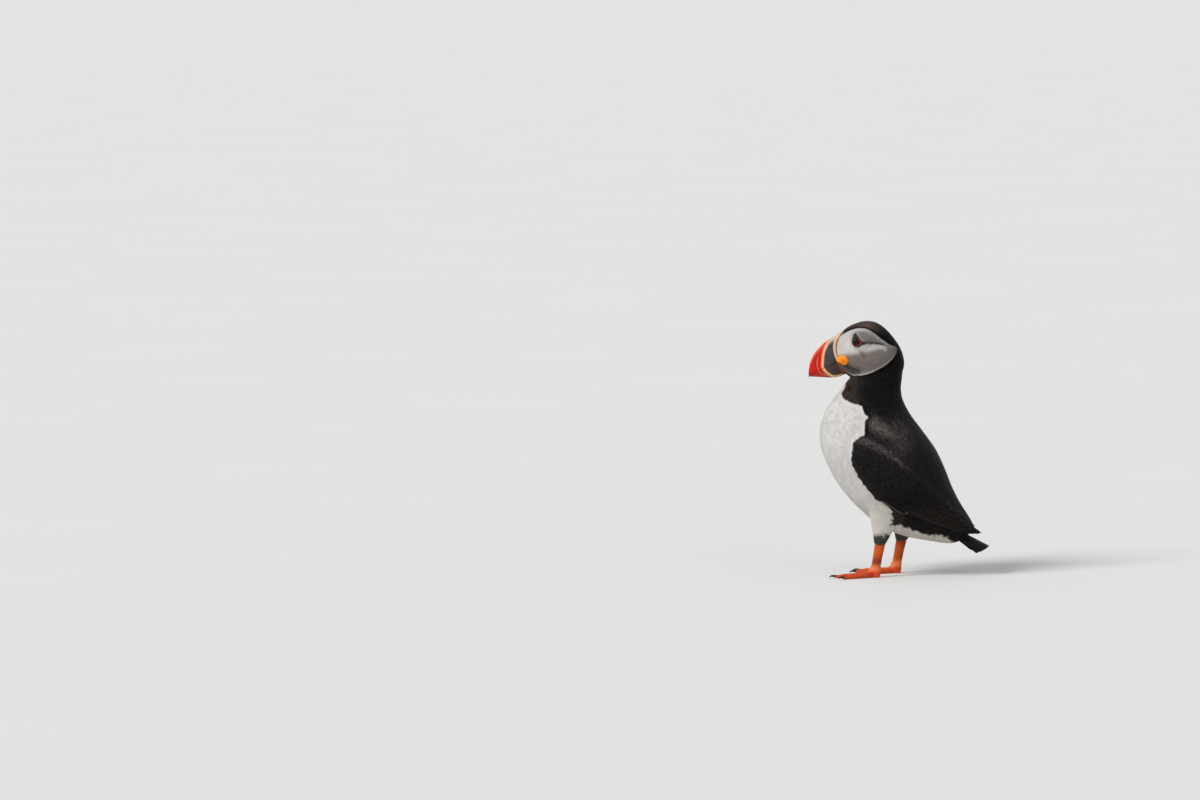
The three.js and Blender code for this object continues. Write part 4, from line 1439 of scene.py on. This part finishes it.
def make_bill(half):
    """The horn of one half of the bill, closed along the mouth and at both ends."""
    grid = bill_outline(half)
    normals = unit(np.cross(np.gradient(grid, axis=1), np.gradient(grid, axis=0)))
    outwards = grid - grid.mean(1, keepdims=True)
    normals *= np.sign((normals * outwards).sum(-1).mean())
    relief, shade = bill_marks(grid.reshape(-1, 3), half)
    from_lip = np.minimum(np.arange(BILL_AROUND), np.arange(BILL_AROUND)[::-1])
    relief = relief.reshape(BILL_ROWS, BILL_AROUND) * smooth(0, 5, from_lip)
    grid = grid + normals * relief[..., None]
    places = np.concatenate([grid.reshape(-1, 3), grid[[0, -1]].mean(1)])
    shade = np.concatenate([shade, shade[[0, -1]]])
    faces = barrel(BILL_ROWS, BILL_AROUND)
    if ((places - places.mean(0)) * normals_of(places, faces)).sum() < 0:
        faces = faces[:, ::-1]
    dress(make_mesh(f"bill_{half}_horn", places, faces, shade), bill_horn, "bill_horn", f"bill_{half}")


# ------------------------------------------------------------------ rosettes, eyes and claws

ROSETTE_ORANGE = srgb(240, 138, 10)
ROSETTE_YELLOW = srgb(250, 164, 26)
ROSETTE_DEEP = srgb(204, 84, 8)
ROSETTE_SIZE = (5.2, 2.7, 4.2)
ROSETTE_TILT, ROSETTE_TURN = -0.65, 0.45
IRIS_BROWN = srgb(30, 18, 15)
PUPIL = srgb(5, 5, 6)
RING_RED = srgb(196, 36, 22)
RING_DARK = srgb(50, 24, 25)
PLATE_BLUE = srgb(31, 35, 41)
EYE_RADIUS = 5.1
EYE_PROUD = 1.15
EYE_BACK = 0.9  # how far the eyeball sits behind the middle of its opening
RING_SCALE, RING_RISE, RING_BEAD = 1.02, 0.1, 0.33
LID_SCALE, LID_RISE, LID_BREADTH, LID_HEIGHT = 1.15, -0.05, 0.7, 0.45
PLATE_SINK, PLATE_RINGS = 0.6, 8
# about the eye's middle
PLATE_ABOVE = through(
    [
        (-2.5, 1.9), (-2.3, 3.9), (-1.3, 5.8), (0.3, 7.4), (1.3, 5.7), (2.5, 3.7), (1.3, 3.2),
        (0.0, 3.0), (-1.3, 2.4),
    ],
    96,
    closed=True,
)
PLATE_BELOW = through(
    [
        (-1.9, -3.7), (-0.4, -4.9), (2.0, -5.0), (4.4, -3.8), (6.5, -1.9), (4.3, -2.4), (2.0, -3.8),
        (-0.2, -4.1),
    ],
    84,
    closed=True,
)
EYE_PLATES = {"above": (PLATE_ABOVE, 1.0), "below": (PLATE_BELOW, 0.85)}  # with their heights
CLAW_BLACK = srgb(30, 27, 27)
CLAW_BASE = srgb(78, 58, 48)
CLAW_GROW, CLAW_VOXEL, CLAW_SMOOTHING = 0.25, 0.16, 6
CLAW_SINK = 0.2  # from the smoothed claw back to its own thickness


def ball(rows, around):
    """A unit ball's places and triangles, its poles along y."""
    down = np.linspace(0, math.pi, rows)[1:-1]
    turn = np.linspace(0, 2 * math.pi, around, endpoint=False)
    x, z = np.outer(np.sin(down), np.cos(turn)), np.outer(np.sin(down), np.sin(turn))
    y = np.outer(np.cos(down), np.ones(around))
    places = np.concatenate([np.stack([x, y, z], -1).reshape(-1, 3), [(0, 1, 0), (0, -1, 0)]])
    return places, barrel(len(down), around)


def turned(places, first, second, angle):
    """Places turned in the plane of two axes."""
    c, s = math.cos(angle), math.sin(angle)
    result = places.copy()
    result[:, first] = places[:, first] * c - places[:, second] * s
    result[:, second] = places[:, first] * s + places[:, second] * c
    return result


def make_rosette(name):
    """The fleshy rosette at the corner of the mouth, drawn out towards the gape."""
    unit_places, faces = ball(80, 120)
    x, _, z = unit_places.T
    out = np.hypot(x, z)
    wrinkles = np.cos(np.arctan2(z, -x) * 15 + 2.5 * np.sin(out * 3)) * smooth(0.35, 0.9, out)
    furrow = bump_of(z + 0.25 * np.sin(3 * x), 0.09) * smooth(0.85, 0.4, out)
    second = 0.6 * bump_of(z - 0.42 + 0.2 * x, 0.07) * smooth(0.8, 0.4, out)
    swell = 1 + 0.012 * wrinkles - 0.07 * furrow - 0.05 * second + 0.06 * wobble(unit_places, 0.7, 31)
    places = turned(unit_places * np.array(ROSETTE_SIZE) * swell[:, None], 0, 2, ROSETTE_TILT)
    places[:, 0] -= 1.7 * smooth(0.78, 1.0, -0.66 * x - 0.75 * z)
    places = turned(places, 0, 1, SIDES[name] * ROSETTE_TURN) + middle_of(f"rosette_{name}")
    centre = bump_of(np.hypot(x - 0.25, z + 0.1), 0.55)
    spots = smooth(0.2, 0.9, wobble(unit_places, 0.3, 33))
    marks = 0.55 * centre + 0.6 * furrow + 0.5 * second + 0.2 * spots
    shade = blend(ROSETTE_ORANGE, ROSETTE_YELLOW, smooth(-0.5, 0.9, wrinkles))
    shade = blend(shade, ROSETTE_DEEP, np.clip(marks, 0, 0.9))
    piece = make_mesh(f"gape_rosette_{name}", places, faces, shade)
    dress(piece, rosette_flesh, "gape_skin", f"rosette_{name}")


def tube(line, ups, breadth, height, around):
    """A closed flattened bead along a ring of places."""
    heading = unit(np.roll(line, -1, 0) - np.roll(line, 1, 0))
    aside = unit(np.cross(ups, heading))
    up = np.cross(heading, aside)
    turn = np.linspace(0, 2 * math.pi, around, endpoint=False)
    breadth, height = (np.broadcast_to(k, len(line))[:, None] for k in (breadth, height))
    across, rise = np.cos(turn) * breadth, np.sin(turn) * height
    places = line[:, None] + aside[:, None] * across[..., None] + up[:, None] * rise[..., None]
    index = np.arange(len(line) * around).reshape(len(line), around)
    ahead = np.roll(index, -1, 0)
    quads = np.stack([index, ahead, np.roll(ahead, -1, 1), np.roll(index, -1, 1)], -1).reshape(-1, 4)
    return places.reshape(-1, 3), in_triangles(quads)


def on_face(drawing, centre, side):
    """Points and normals of the face at places drawn about an eye's middle."""
    return form.from_side(centre[0] + drawing[:, 0], centre[2] + drawing[:, 1], side)


def pad(outline, centre, side, height):
    """A domed horny plate on the face, closed underneath."""
    heart = outline.mean(0)
    layers = []
    for turn in np.linspace(0, math.pi / 2, PLATE_RINGS + 1)[1:]:
        spots, ups = on_face(heart + (outline - heart) * math.sin(turn), centre, side)
        layers.append(spots + ups * (height * math.cos(turn)))
    spots, ups = on_face(outline, centre, side)
    layers.append(spots - ups * PLATE_SINK)
    peak, peak_up = on_face(heart[None], centre, side)
    places = np.concatenate([*layers, peak + peak_up * height, peak - peak_up * PLATE_SINK])
    faces = barrel(len(layers), len(outline))
    return places, faces if side > 0 else faces[:, ::-1]


def mottled(shade, places, amount, scale, seed):
    return np.clip(shade * (1 + amount * wobble(places, scale, seed))[:, None], 0, 1)


def make_eye(name):
    """The eyeball, its raised ring, the lids round it and the horny plates above and below."""
    side = SIDES[name]
    centre = middle_of(f"eye_{name}")
    skin_at, skin_up = on_face(np.zeros((1, 2)), centre, side)
    middle = skin_at[0] - skin_up[0] * (EYE_RADIUS - EYE_PROUD) + np.array([EYE_BACK, 0, 0])
    look = unit(skin_up[0] + np.array([-0.12, 0, 0.02]))

    unit_places, faces = ball(90, 120)
    facing = unit_places @ look
    cornea = 0.3 * smooth(0.74, 0.92, facing)
    places = middle + unit_places * (EYE_RADIUS + cornea)[:, None]
    shade = blend(IRIS_BROWN, PUPIL, smooth(0.905, 0.925, facing))
    shade = blend(shade, PUPIL, smooth(0.72, 0.66, facing))
    dress(make_mesh(f"eyeball_{name}", places, faces, shade), eye_shine, "eye", f"eye_{name}")

    def round_the_eye(scale, rise):
        spots, ups = on_face(EYE_OPENING * scale, centre, side)
        reach = np.linalg.norm(spots - middle, axis=1, keepdims=True)
        on_ball = middle + (spots - middle) / reach * np.maximum(reach, EYE_RADIUS + 0.12)
        return on_ball + ups * rise, ups

    turn = np.linspace(0, 2 * math.pi, len(EYE_OPENING), endpoint=False)
    beads = RING_BEAD + 0.03 * np.sin(turn * 34) + 0.03 * np.sin(turn * 3 + 1)
    places, faces = tube(*round_the_eye(RING_SCALE, RING_RISE), beads, beads * 1.1, 14)
    forward = smooth(1.6, -0.4, (places[:, 0] - centre[0]) - 0.35 * (places[:, 2] - centre[2]))
    shade = mottled(blend(RING_RED, RING_DARK, 0.92 * forward), places, 0.15, 1.2, 41)
    dress(make_mesh(f"eyelid_ring_{name}", places, faces, shade), eyelid_flesh, "gape_skin")

    height = LID_HEIGHT + 0.04 * np.sin(turn * 21)
    places, faces = tube(*round_the_eye(LID_SCALE, LID_RISE), LID_BREADTH, height, 18)
    shade = mottled(LID_GREY, places, 0.15, 1.5, 42)
    dress(make_mesh(f"eyelid_{name}", places, faces, shade), eyelid_flesh, "gape_skin")

    for title, (outline, height) in EYE_PLATES.items():
        places, faces = pad(outline, centre, side, height)
        shade = mottled(PLATE_BLUE, places, 0.18, 1.5, 43)
        dress(make_mesh(f"eye_plate_{title}_{name}", places, faces, shade), plate_horn, "bill_horn")


def make_claw(name, toe):
    """A claw whose base runs on into its toe."""
    node = f"claw_{toe}_{name}"
    places, faces, normals = resurfaced([node], CLAW_GROW, CLAW_VOXEL, CLAW_SMOOTHING)
    places = places - normals * CLAW_SINK
    low, high = box_mm(node)
    from_base = smooth(high[0] - 2.2, high[0] + 0.2, places[:, 0])
    inwards = unit(foot_joint(name) - (low + high)[:2] / 2)
    places[:, :2] += inwards * (1.6 * from_base)[:, None]
    places[:, 2] = np.maximum(places[:, 2], 0)
    shade = blend(CLAW_BLACK, CLAW_BASE, 0.7 * from_base)
    dress(make_mesh(f"claw_horn_{toe}_{name}", places, faces, shade), claw_horn, "claw_horn", node)


# ------------------------------------------------------------------ plumage

SCATTERED = 190_000  # places tried for tufts, before they are thinned out
AT_ONCE = 50_000  # places whose colours are worked out together
CLEAN_FROM = 128  # height above which the white breast has a clean edge
WING_WRIST, WING_HEADING, WING_STEP = (-47, 118), (0.835, -0.55), 14.7  # a step is a tenth of its length
LID_CLEARANCE = 1.12  # feathers keep outside the eye's opening drawn this much larger


def by_border(places):
    """How near each place is to the clean edge between two markings of head or breast."""
    x, _, z = places.T
    face = np.where(z > FACE_FLOOR, away_from(FACE_EDGE, x, z), 99)
    breast = np.where(z > CLEAN_FROM, away_from(WHITE_EDGE, x, z), 99)
    return smooth(4.5, 1.5, np.minimum(face, breast))


def border_paint(places):
    """The markings' own colour beside their clean edges, and nothing elsewhere."""
    colour = np.full((len(places), 3), np.nan)
    for first in range(0, len(places), AT_ONCE):
        part = places[first : first + AT_ONCE]
        x, _, z = part.T
        gap = np.where(z > FACE_FLOOR, away_from(FACE_EDGE[::2], x, z), 99)
        high = z > 100
        gap[high] = np.minimum(gap[high], away_from(WHITE_EDGE[::2], x[high], z[high]))
        near = np.flatnonzero(gap < 3.5)
        if len(near):
            colour[first + near] = plumage_colour(part[near], regions(part[near]), np.zeros(len(near)))
    return colour


def wing_run(places):
    """How far each place is along a folded wing, from 0 at its wrist to 10 at its tip."""
    x, z = places[:, 0] - WING_WRIST[0], places[:, 2] - WING_WRIST[1]
    return (x * WING_HEADING[0] + z * WING_HEADING[1]) / WING_STEP


def shoulder_share(places):
    """How much each place belongs to the long shoulder feathers above a folded wing."""
    x, y, z = places.T
    run = wing_run(places)
    near = smooth(13, 5, away_from(WING_UPPER, x, z)) * smooth(9, 15, np.abs(y))
    return near * smooth(1.6, 3, run) * smooth(8.6, 7.4, run)


def feathered(roots):
    """Which roots can grow a feather: none on eye or bill, nor where the wings and tail hide the rump."""
    x, y, z = roots.spots.T
    bare = (bill_gap(roots.spots) <= 0.25) | (beside_eye(roots.spots, LID_CLEARANCE) >= 0)
    between_wings = (x > 55) & (roots.ups[:, 1] * np.sign(y) < -0.3)
    rump_end = (x > 66) & (roots.on_wing < 0.5) & (z > 36)
    rump_under = (x > 55.5) & (roots.on_wing < 0.5) & (roots.ups[:, 2] < -0.4)
    return ~(bare | between_wings | rump_end | rump_under)


def tuft_spacing(roots):
    """How far apart tufts stand: close on the face and beside clean edges, wide on back and wings."""
    nape = smooth(128, 160, up_neck(roots.spots))
    body = by_kind(roots.kinds, 0.66, 1.5, lerp(1.9, 1.22, nape))
    body = lerp(body, 2.5, shoulder_share(roots.spots))
    wing = lerp(1.5, 2.3, smooth(0.5, 4, wing_run(roots.spots)))
    spacing = lerp(np.where(roots.on_wing > 0.5, wing, body), 1.3, roots.legs)
    return spacing * (1 - 0.3 * by_border(roots.spots))


def tuft_length(roots):
    """How long tufts are: short on face, legs and lids, longest on the shoulders."""
    nape = smooth(128, 160, up_neck(roots.spots))
    breast = 9 * lerp(1, 0.75, smooth(150, 165, roots.spots[:, 2]))
    body = by_kind(roots.kinds, 3.2, breast, lerp(9.5, 5.6, nape))
    wing = lerp(5, 8, smooth(0.5, 4, wing_run(roots.spots)))
    length = lerp(np.where(roots.on_wing > 0.5, wing, body), 11.5, roots.shoulder)
    length = lerp(length * (1 - 0.3 * by_border(roots.spots)), 3.6, roots.legs)
    length *= rng.uniform(0.88, 1.12, len(roots))
    return np.minimum(length, np.maximum(1.1, -0.8 * beside_eye(roots.spots, LID_CLEARANCE)))


def unwrapped_leg(places):
    """The feathered shanks unrolled, each in its own half of the map."""
    flat = np.zeros((len(places), 2))
    for side, middle in ((LEFT, 0.25), (RIGHT, 0.75)):
        mine = places[:, 1] * side > 0
        x, y, z = (places[mine] - np.array([*LEG_TOPS[side][:2], 0])).T
        flat[mine, 0] = middle + 0.44 * np.arctan2(y, x) / (2 * math.pi)
        flat[mine, 1] = np.clip((z - 25) / 60, 0.01, 0.99)
    return flat


def body_roots():
    """Where the small feathers grow, which way, how large, and in what colour."""
    spots, ups = form.scatter(SCATTERED)
    roots = Roots(spots=spots, ups=ups, kinds=regions(spots), on_wing=wing_share(spots), legs=on_leg(spots))
    roots = roots.also(spacing=tuft_spacing(roots)).only(feathered(roots))
    roots = roots.only(thinned(roots.spots, roots.spacing))
    spots, ups, on_wing = roots.spots, roots.ups, roots.on_wing

    headings = lie(spots, ups, on_wing)
    sway = rng.normal(0, 0.09, len(roots))[:, None]
    headings = unit(headings + np.cross(ups, headings) * sway)
    roots = roots.also(headings=headings, shoulder=shoulder_share(spots) * (on_wing < 0.5))
    length = tuft_length(roots)

    # the visible end of a tuft, not its root, says what marking it carries
    shown = spots + headings * (length * 0.7)[:, None]
    frayed = smooth(104, 92, shown[:, 2])[:, None] * rng.normal(0, (0.8, 0, 0.6), shown.shape)
    kinds = regions(shown + frayed)
    kinds = np.where((kinds == "white") & (on_wing > 0.5), "back", kinds)
    black = np.isin(kinds, ("hood", "back"))
    tone = 1 + 0.08 * black * rng.normal(0, 1, len(roots))
    shade = plumage_colour(shown, kinds, wing_share(shown)) * tone[:, None]
    high = rng.random(len(roots)) < smooth(118, 158, up_neck(shown))
    kinds = np.where(black, np.where(high, "hood", "back"), kinds)
    width = roots.spacing * np.where(np.isin(kinds, ("hood", "white")), 2.3, 2.4)
    return roots.also(
        kinds=kinds,
        shade=shade,
        length=length,
        width=width,
        depth=coat_depth(spots) * lerp(1, 0.45, on_wing),
        proud=0.7 * roots.shoulder,
        worn=painted_sheen_share(shown),
    )


def grow_coat(name, material, slot, roots, edge, **shape):
    """One coat of tufts, whose tips turn a share of the way to a brown edge."""
    coat = Coat(name, material, slot)
    tufts(coat, roots.also(tip_shade=blend(roots.shade, EDGE_BROWN, edge)), **shape)
    coat.make()


def grow_body_coat():
    """The tufts of face, hood, breast, mantle and shanks, and the rows of small wing coverts."""
    roots = body_roots()
    on_shank, on_wing = roots.legs > 0.5, roots.on_wing >= 0.5
    # pale streaks: the feathers' own texture, and on the black feathers mostly painted sheen
    roots = roots.also(streaked=by_kind(roots.kinds, 0.12, 0.3, 0.04 + 0.8 * roots.worn))
    # name, material, slot, how far the tips are brown, strands, lift and streaks of each kind
    coats = {
        "face": ("face_feathers", face_feather, "face_feather", 0, 5, 0.02, SMOKE),
        "hood": ("hood_feathers", black_feather, "black_feather", 0, 8, 0.1, STREAK_AND_SHEEN_PALE),
        "white": ("breast_feathers", white_feather, "white_feather", 0, 10, 0.08, SMOKE),
        "back": ("mantle_feathers", mantle_feather, "mantle_feather", 0.28, 11, 0.1, STREAK_AND_SHEEN_PALE),
    }
    for kind, (name, material, slot, edge, strands, lift, streak) in coats.items():
        mine = roots.only((roots.kinds == kind) & ~on_shank & ~on_wing)
        grow_coat(
            name, material, slot, mine, edge,
            strands=strands, lift=lift, ragged=0.12, streak=streak, painted=border_paint,
        )
    grow_coat(
        "shank_feathers", white_feather, "white_feather", roots.only(on_shank), 0,
        strands=6, lift=0.2, ragged=0.14, unwrap=unwrapped_leg,
    )

    x, z = roots.spots[:, 0], roots.spots[:, 2]
    above, under = away_from(WING_UPPER, x, z), away_from(WING_LOWER, x, z)
    run = wing_run(roots.spots) + 1.3 * above / (above + under) + 0.3 * rng.random(len(roots))
    # on the coverts too, the streaks mostly follow the painted sheen
    roots = roots.also(proud=lerp(0.3, 0.8, smooth(0.4, 1.6, run)), streaked=0.05 + 0.7 * roots.worn)
    coverts = roots.only(~on_shank & on_wing & (run < 4.3))
    grow_coat(
        "wing_coverts", wing_feather, "wing_feather", coverts, 0.3,
        strands=9, lift=0.1, ragged=0.1, split=0.55, streak=STREAK_AND_SHEEN_PALE,
    )


# ------------------------------------------------------------------ wings and tail

QUILL_BROWN = srgb(19, 15, 14)
QUILL_EDGE = srgb(112, 103, 97)
COVERT_EDGE = srgb(38, 34, 32)
RECTRIX = srgb(17, 14, 15)
# bases, tips and lifts are those of a group's first and last feather, and its bases and tips are
# (u, v) places on the wing's flat drawing
WING_GROUPS = (
    {
        "count": 7, "bases": ((2.0, 0.88), (3.6, 0.42)), "tips": ((9.95, 0.66), (7.5, 0.1)),
        "bend": 0.03, "breadth": 8.6, "lifts": (-0.15, 0.15), "point": 0.74,
        "shade": QUILL_BROWN, "edge": EDGE_BROWN, "edge_width": 0.3,
    },
    {
        "count": 10, "bases": ((1.2, 0.8), (2.0, 0.15)), "tips": ((5.5, 0.93), (7.2, 0.02)),
        "bend": 0.03, "breadth": 9.4, "lifts": (0.0, 0.45), "point": 0.86,
        "shade": WING_BLACK, "edge": COVERT_EDGE, "edge_width": 0.35,
    },
    {
        "count": 10, "bases": ((0.8, 0.85), (1.6, 0.08)), "tips": ((4.1, 0.95), (5.6, 0.04)),
        "bend": 0.02, "breadth": 8.2, "lifts": (0.15, 0.45), "point": 0.84,
        "shade": WING_BLACK, "edge": COVERT_EDGE, "edge_width": 0.35,
    },
)
TAIL_ROOT, TAIL_TIP = (30, 50), (NAPE_TO_TAIL, 25)  # x and z of its middle line
TAIL_HALF_WIDTH = (9, 15.5)
TAIL_DEPTH = (5.5, 1.6)
TAIL_ARCH, TAIL_ROOT_ARCH = 10.5, 0.4
TAIL_COUNT, TAIL_BREADTH, TAIL_REACH = 14, 6.0, 56.5
TAIL_RUN, TAIL_SPAN = 56, 12  # the flat drawing's length and half width


def wing_drawing(u, v):
    """A folded wing's flat drawing: u runs from its wrist, 0, to its tip, 10, and v down across it."""
    at = np.clip(u * 20, 0, 200)
    k = min(int(at), 199)
    upper = lerp(WING_UPPER[k], WING_UPPER[k + 1], at - k)
    lower = lerp(WING_LOWER[k], WING_LOWER[k + 1], at - k)
    return lerp(upper, lower, v)


def on_side(side):
    """Lays flat drawings on one side of the body."""

    def place_at(flat):
        spots, ups = form.from_side(flat[:, 0], flat[:, 1], side)
        return spots, unit(ups * np.array([0.4, 1, 0.4]))

    return place_at


def dress_wing(name):
    """The flight feathers and two rows of large coverts of one folded wing."""
    coat = Coat(f"flight_feathers_{name}", quill_feather, "wing_feather")
    place_at = on_side(SIDES[name])
    order = 0
    for group in WING_GROUPS:
        for share in np.arange(group["count"]) / (group["count"] - 1):
            order += 1
            base = lerp(*np.array(group["bases"]), share)
            tip = lerp(*np.array(group["tips"]), share) + rng.normal(0, (0.05, 0.008))
            middle = (base + tip) / 2 + np.array([0, group["bend"]])
            shaft = [wing_drawing(*spot) for spot in (base, middle, tip)]
            flat = np.array([0.03 + 0.93 * (order * 0.618 % 1), 0.05 + 0.9 * (order * 0.377 % 1)])
            pale = 5.2 < tip[0] < 6.1 and tip[1] > 0.84
            shade = group["shade"] * rng.uniform(0.8, 1.3)
            long_feather(
                coat, place_at, shaft, group["breadth"], 0.4, lerp(*group["lifts"], share), shade,
                QUILL_EDGE if pale else group["edge"], group["edge_width"], flat,
                point=group["point"], roll=0.25, tuck=0.8,
            )
    coat.make()


def on_tail(below):
    """Lays flat drawings, run along the tail and share across it, on the arched tail."""

    def spot(run, share):
        t = np.clip(run, 0, 1)
        x, z = (lerp(start, end, run) for start, end in zip(TAIL_ROOT, TAIL_TIP))
        drop = TAIL_ARCH * lerp(TAIL_ROOT_ARCH, 1, t) * share**2
        thick = (-0.4 if below else 0.4) * lerp(*TAIL_DEPTH, t)
        return np.stack([x + NAPE_X, share * lerp(*TAIL_HALF_WIDTH, t), z - drop + thick], -1)

    def place_at(flat):
        run, share = flat[:, 0] / TAIL_RUN, flat[:, 1] / TAIL_SPAN
        spots = spot(run, share)
        ups = unit(np.cross(spot(run + 0.01, share) - spots, spot(run, share + 0.01) - spots))
        return spots, ups * (-1 if below else 1)

    return place_at


def dress_tail():
    """Two layers of tail feathers, which meet along the tail's sides."""
    coat = Coat("tail_feathers", quill_feather, "black_feather")
    for below in (False, True):
        for k in range(TAIL_COUNT):
            share = (k - (TAIL_COUNT - 1) / 2) / (TAIL_COUNT / 2)
            reach = TAIL_REACH * (1 - 0.25 * share**2) - (1.2 if below else 0)
            shaft = [(2, 7 * share), (30, 10 * share), (reach, 11.6 * share)]
            lift = 0.75 * (1 - abs(share)) - (1.1 if below else 0.6)
            flat = np.array([0.05 + 0.065 * k, 0.7 if below else 0.3])
            shade = RECTRIX * rng.uniform(0.85, 1.25)
            long_feather(
                coat, on_tail(below), shaft, TAIL_BREADTH, 0.5, lift, shade, EDGE_BROWN, 0.35, flat,
                point=0.8, roll=-0.25 * share, tuck=0.6,
            )
    coat.make()


# ------------------------------------------------------------------ the whole bird

FLOOR = 60_000  # half its width

face_feather = feather_material("face_feather", (0.75, 0.65), 0.08, 0.04, 0.3)
black_feather = feather_material("black_feather", (0.6, 0.48), 0.0, 0.08, 0.05, (0.95, 0.88, 0.84))
white_feather = feather_material("white_feather", (0.8, 0.7), 0.08, 0.07, 0.3)
mantle_feather = feather_material("mantle_feather", (0.58, 0.46), 0.0, 0.08, 0.06, (0.92, 0.92, 0.95))
wing_feather = feather_material("wing_feather", (0.58, 0.46), 0.0, 0.08, 0.05, (0.95, 0.9, 0.86))
quill_feather = quill_material("quill_feather")
bill_horn = horn_material("bill_horn", 0.34, 260.0, 0.06)
claw_horn = horn_material("claw_horn", 0.3, 500.0, 0.04)
plate_horn = horn_material("eye_plate_horn", 0.4, 600.0, 0.04)
rosette_flesh = flesh_material("gape_flesh", 0.36)
eyelid_flesh = flesh_material("eyelid_flesh", 0.4)
eye_shine = eye_material()

make_skin()
for half in ("upper", "lower"):
    make_bill(half)
for side_name in SIDES:
    make_rosette(side_name)
    make_eye(side_name)
    for toe in TOES:
        make_claw(side_name, toe)
grow_body_coat()
for side_name in SIDES:
    dress_wing(side_name)
dress_tail()

corners = [(-FLOOR, -FLOOR, 0), (FLOOR, -FLOOR, 0), (FLOOR, FLOOR, 0), (-FLOOR, FLOOR, 0)]
floor = make_mesh("floor", corners, [(0, 1, 2, 3)])
floor.data.materials.append(floor_material())
add_camera()
add_sun("key_lamp", (-0.72, -0.44, 0.64), 2.4, 24)
add_sun("side_lamp", (0.4, -0.8, 0.35), 0.2, 40)
light_the_world(srgb(240, 241, 243), 0.5)
bpy.context.scene.view_settings.view_transform = "Standard"
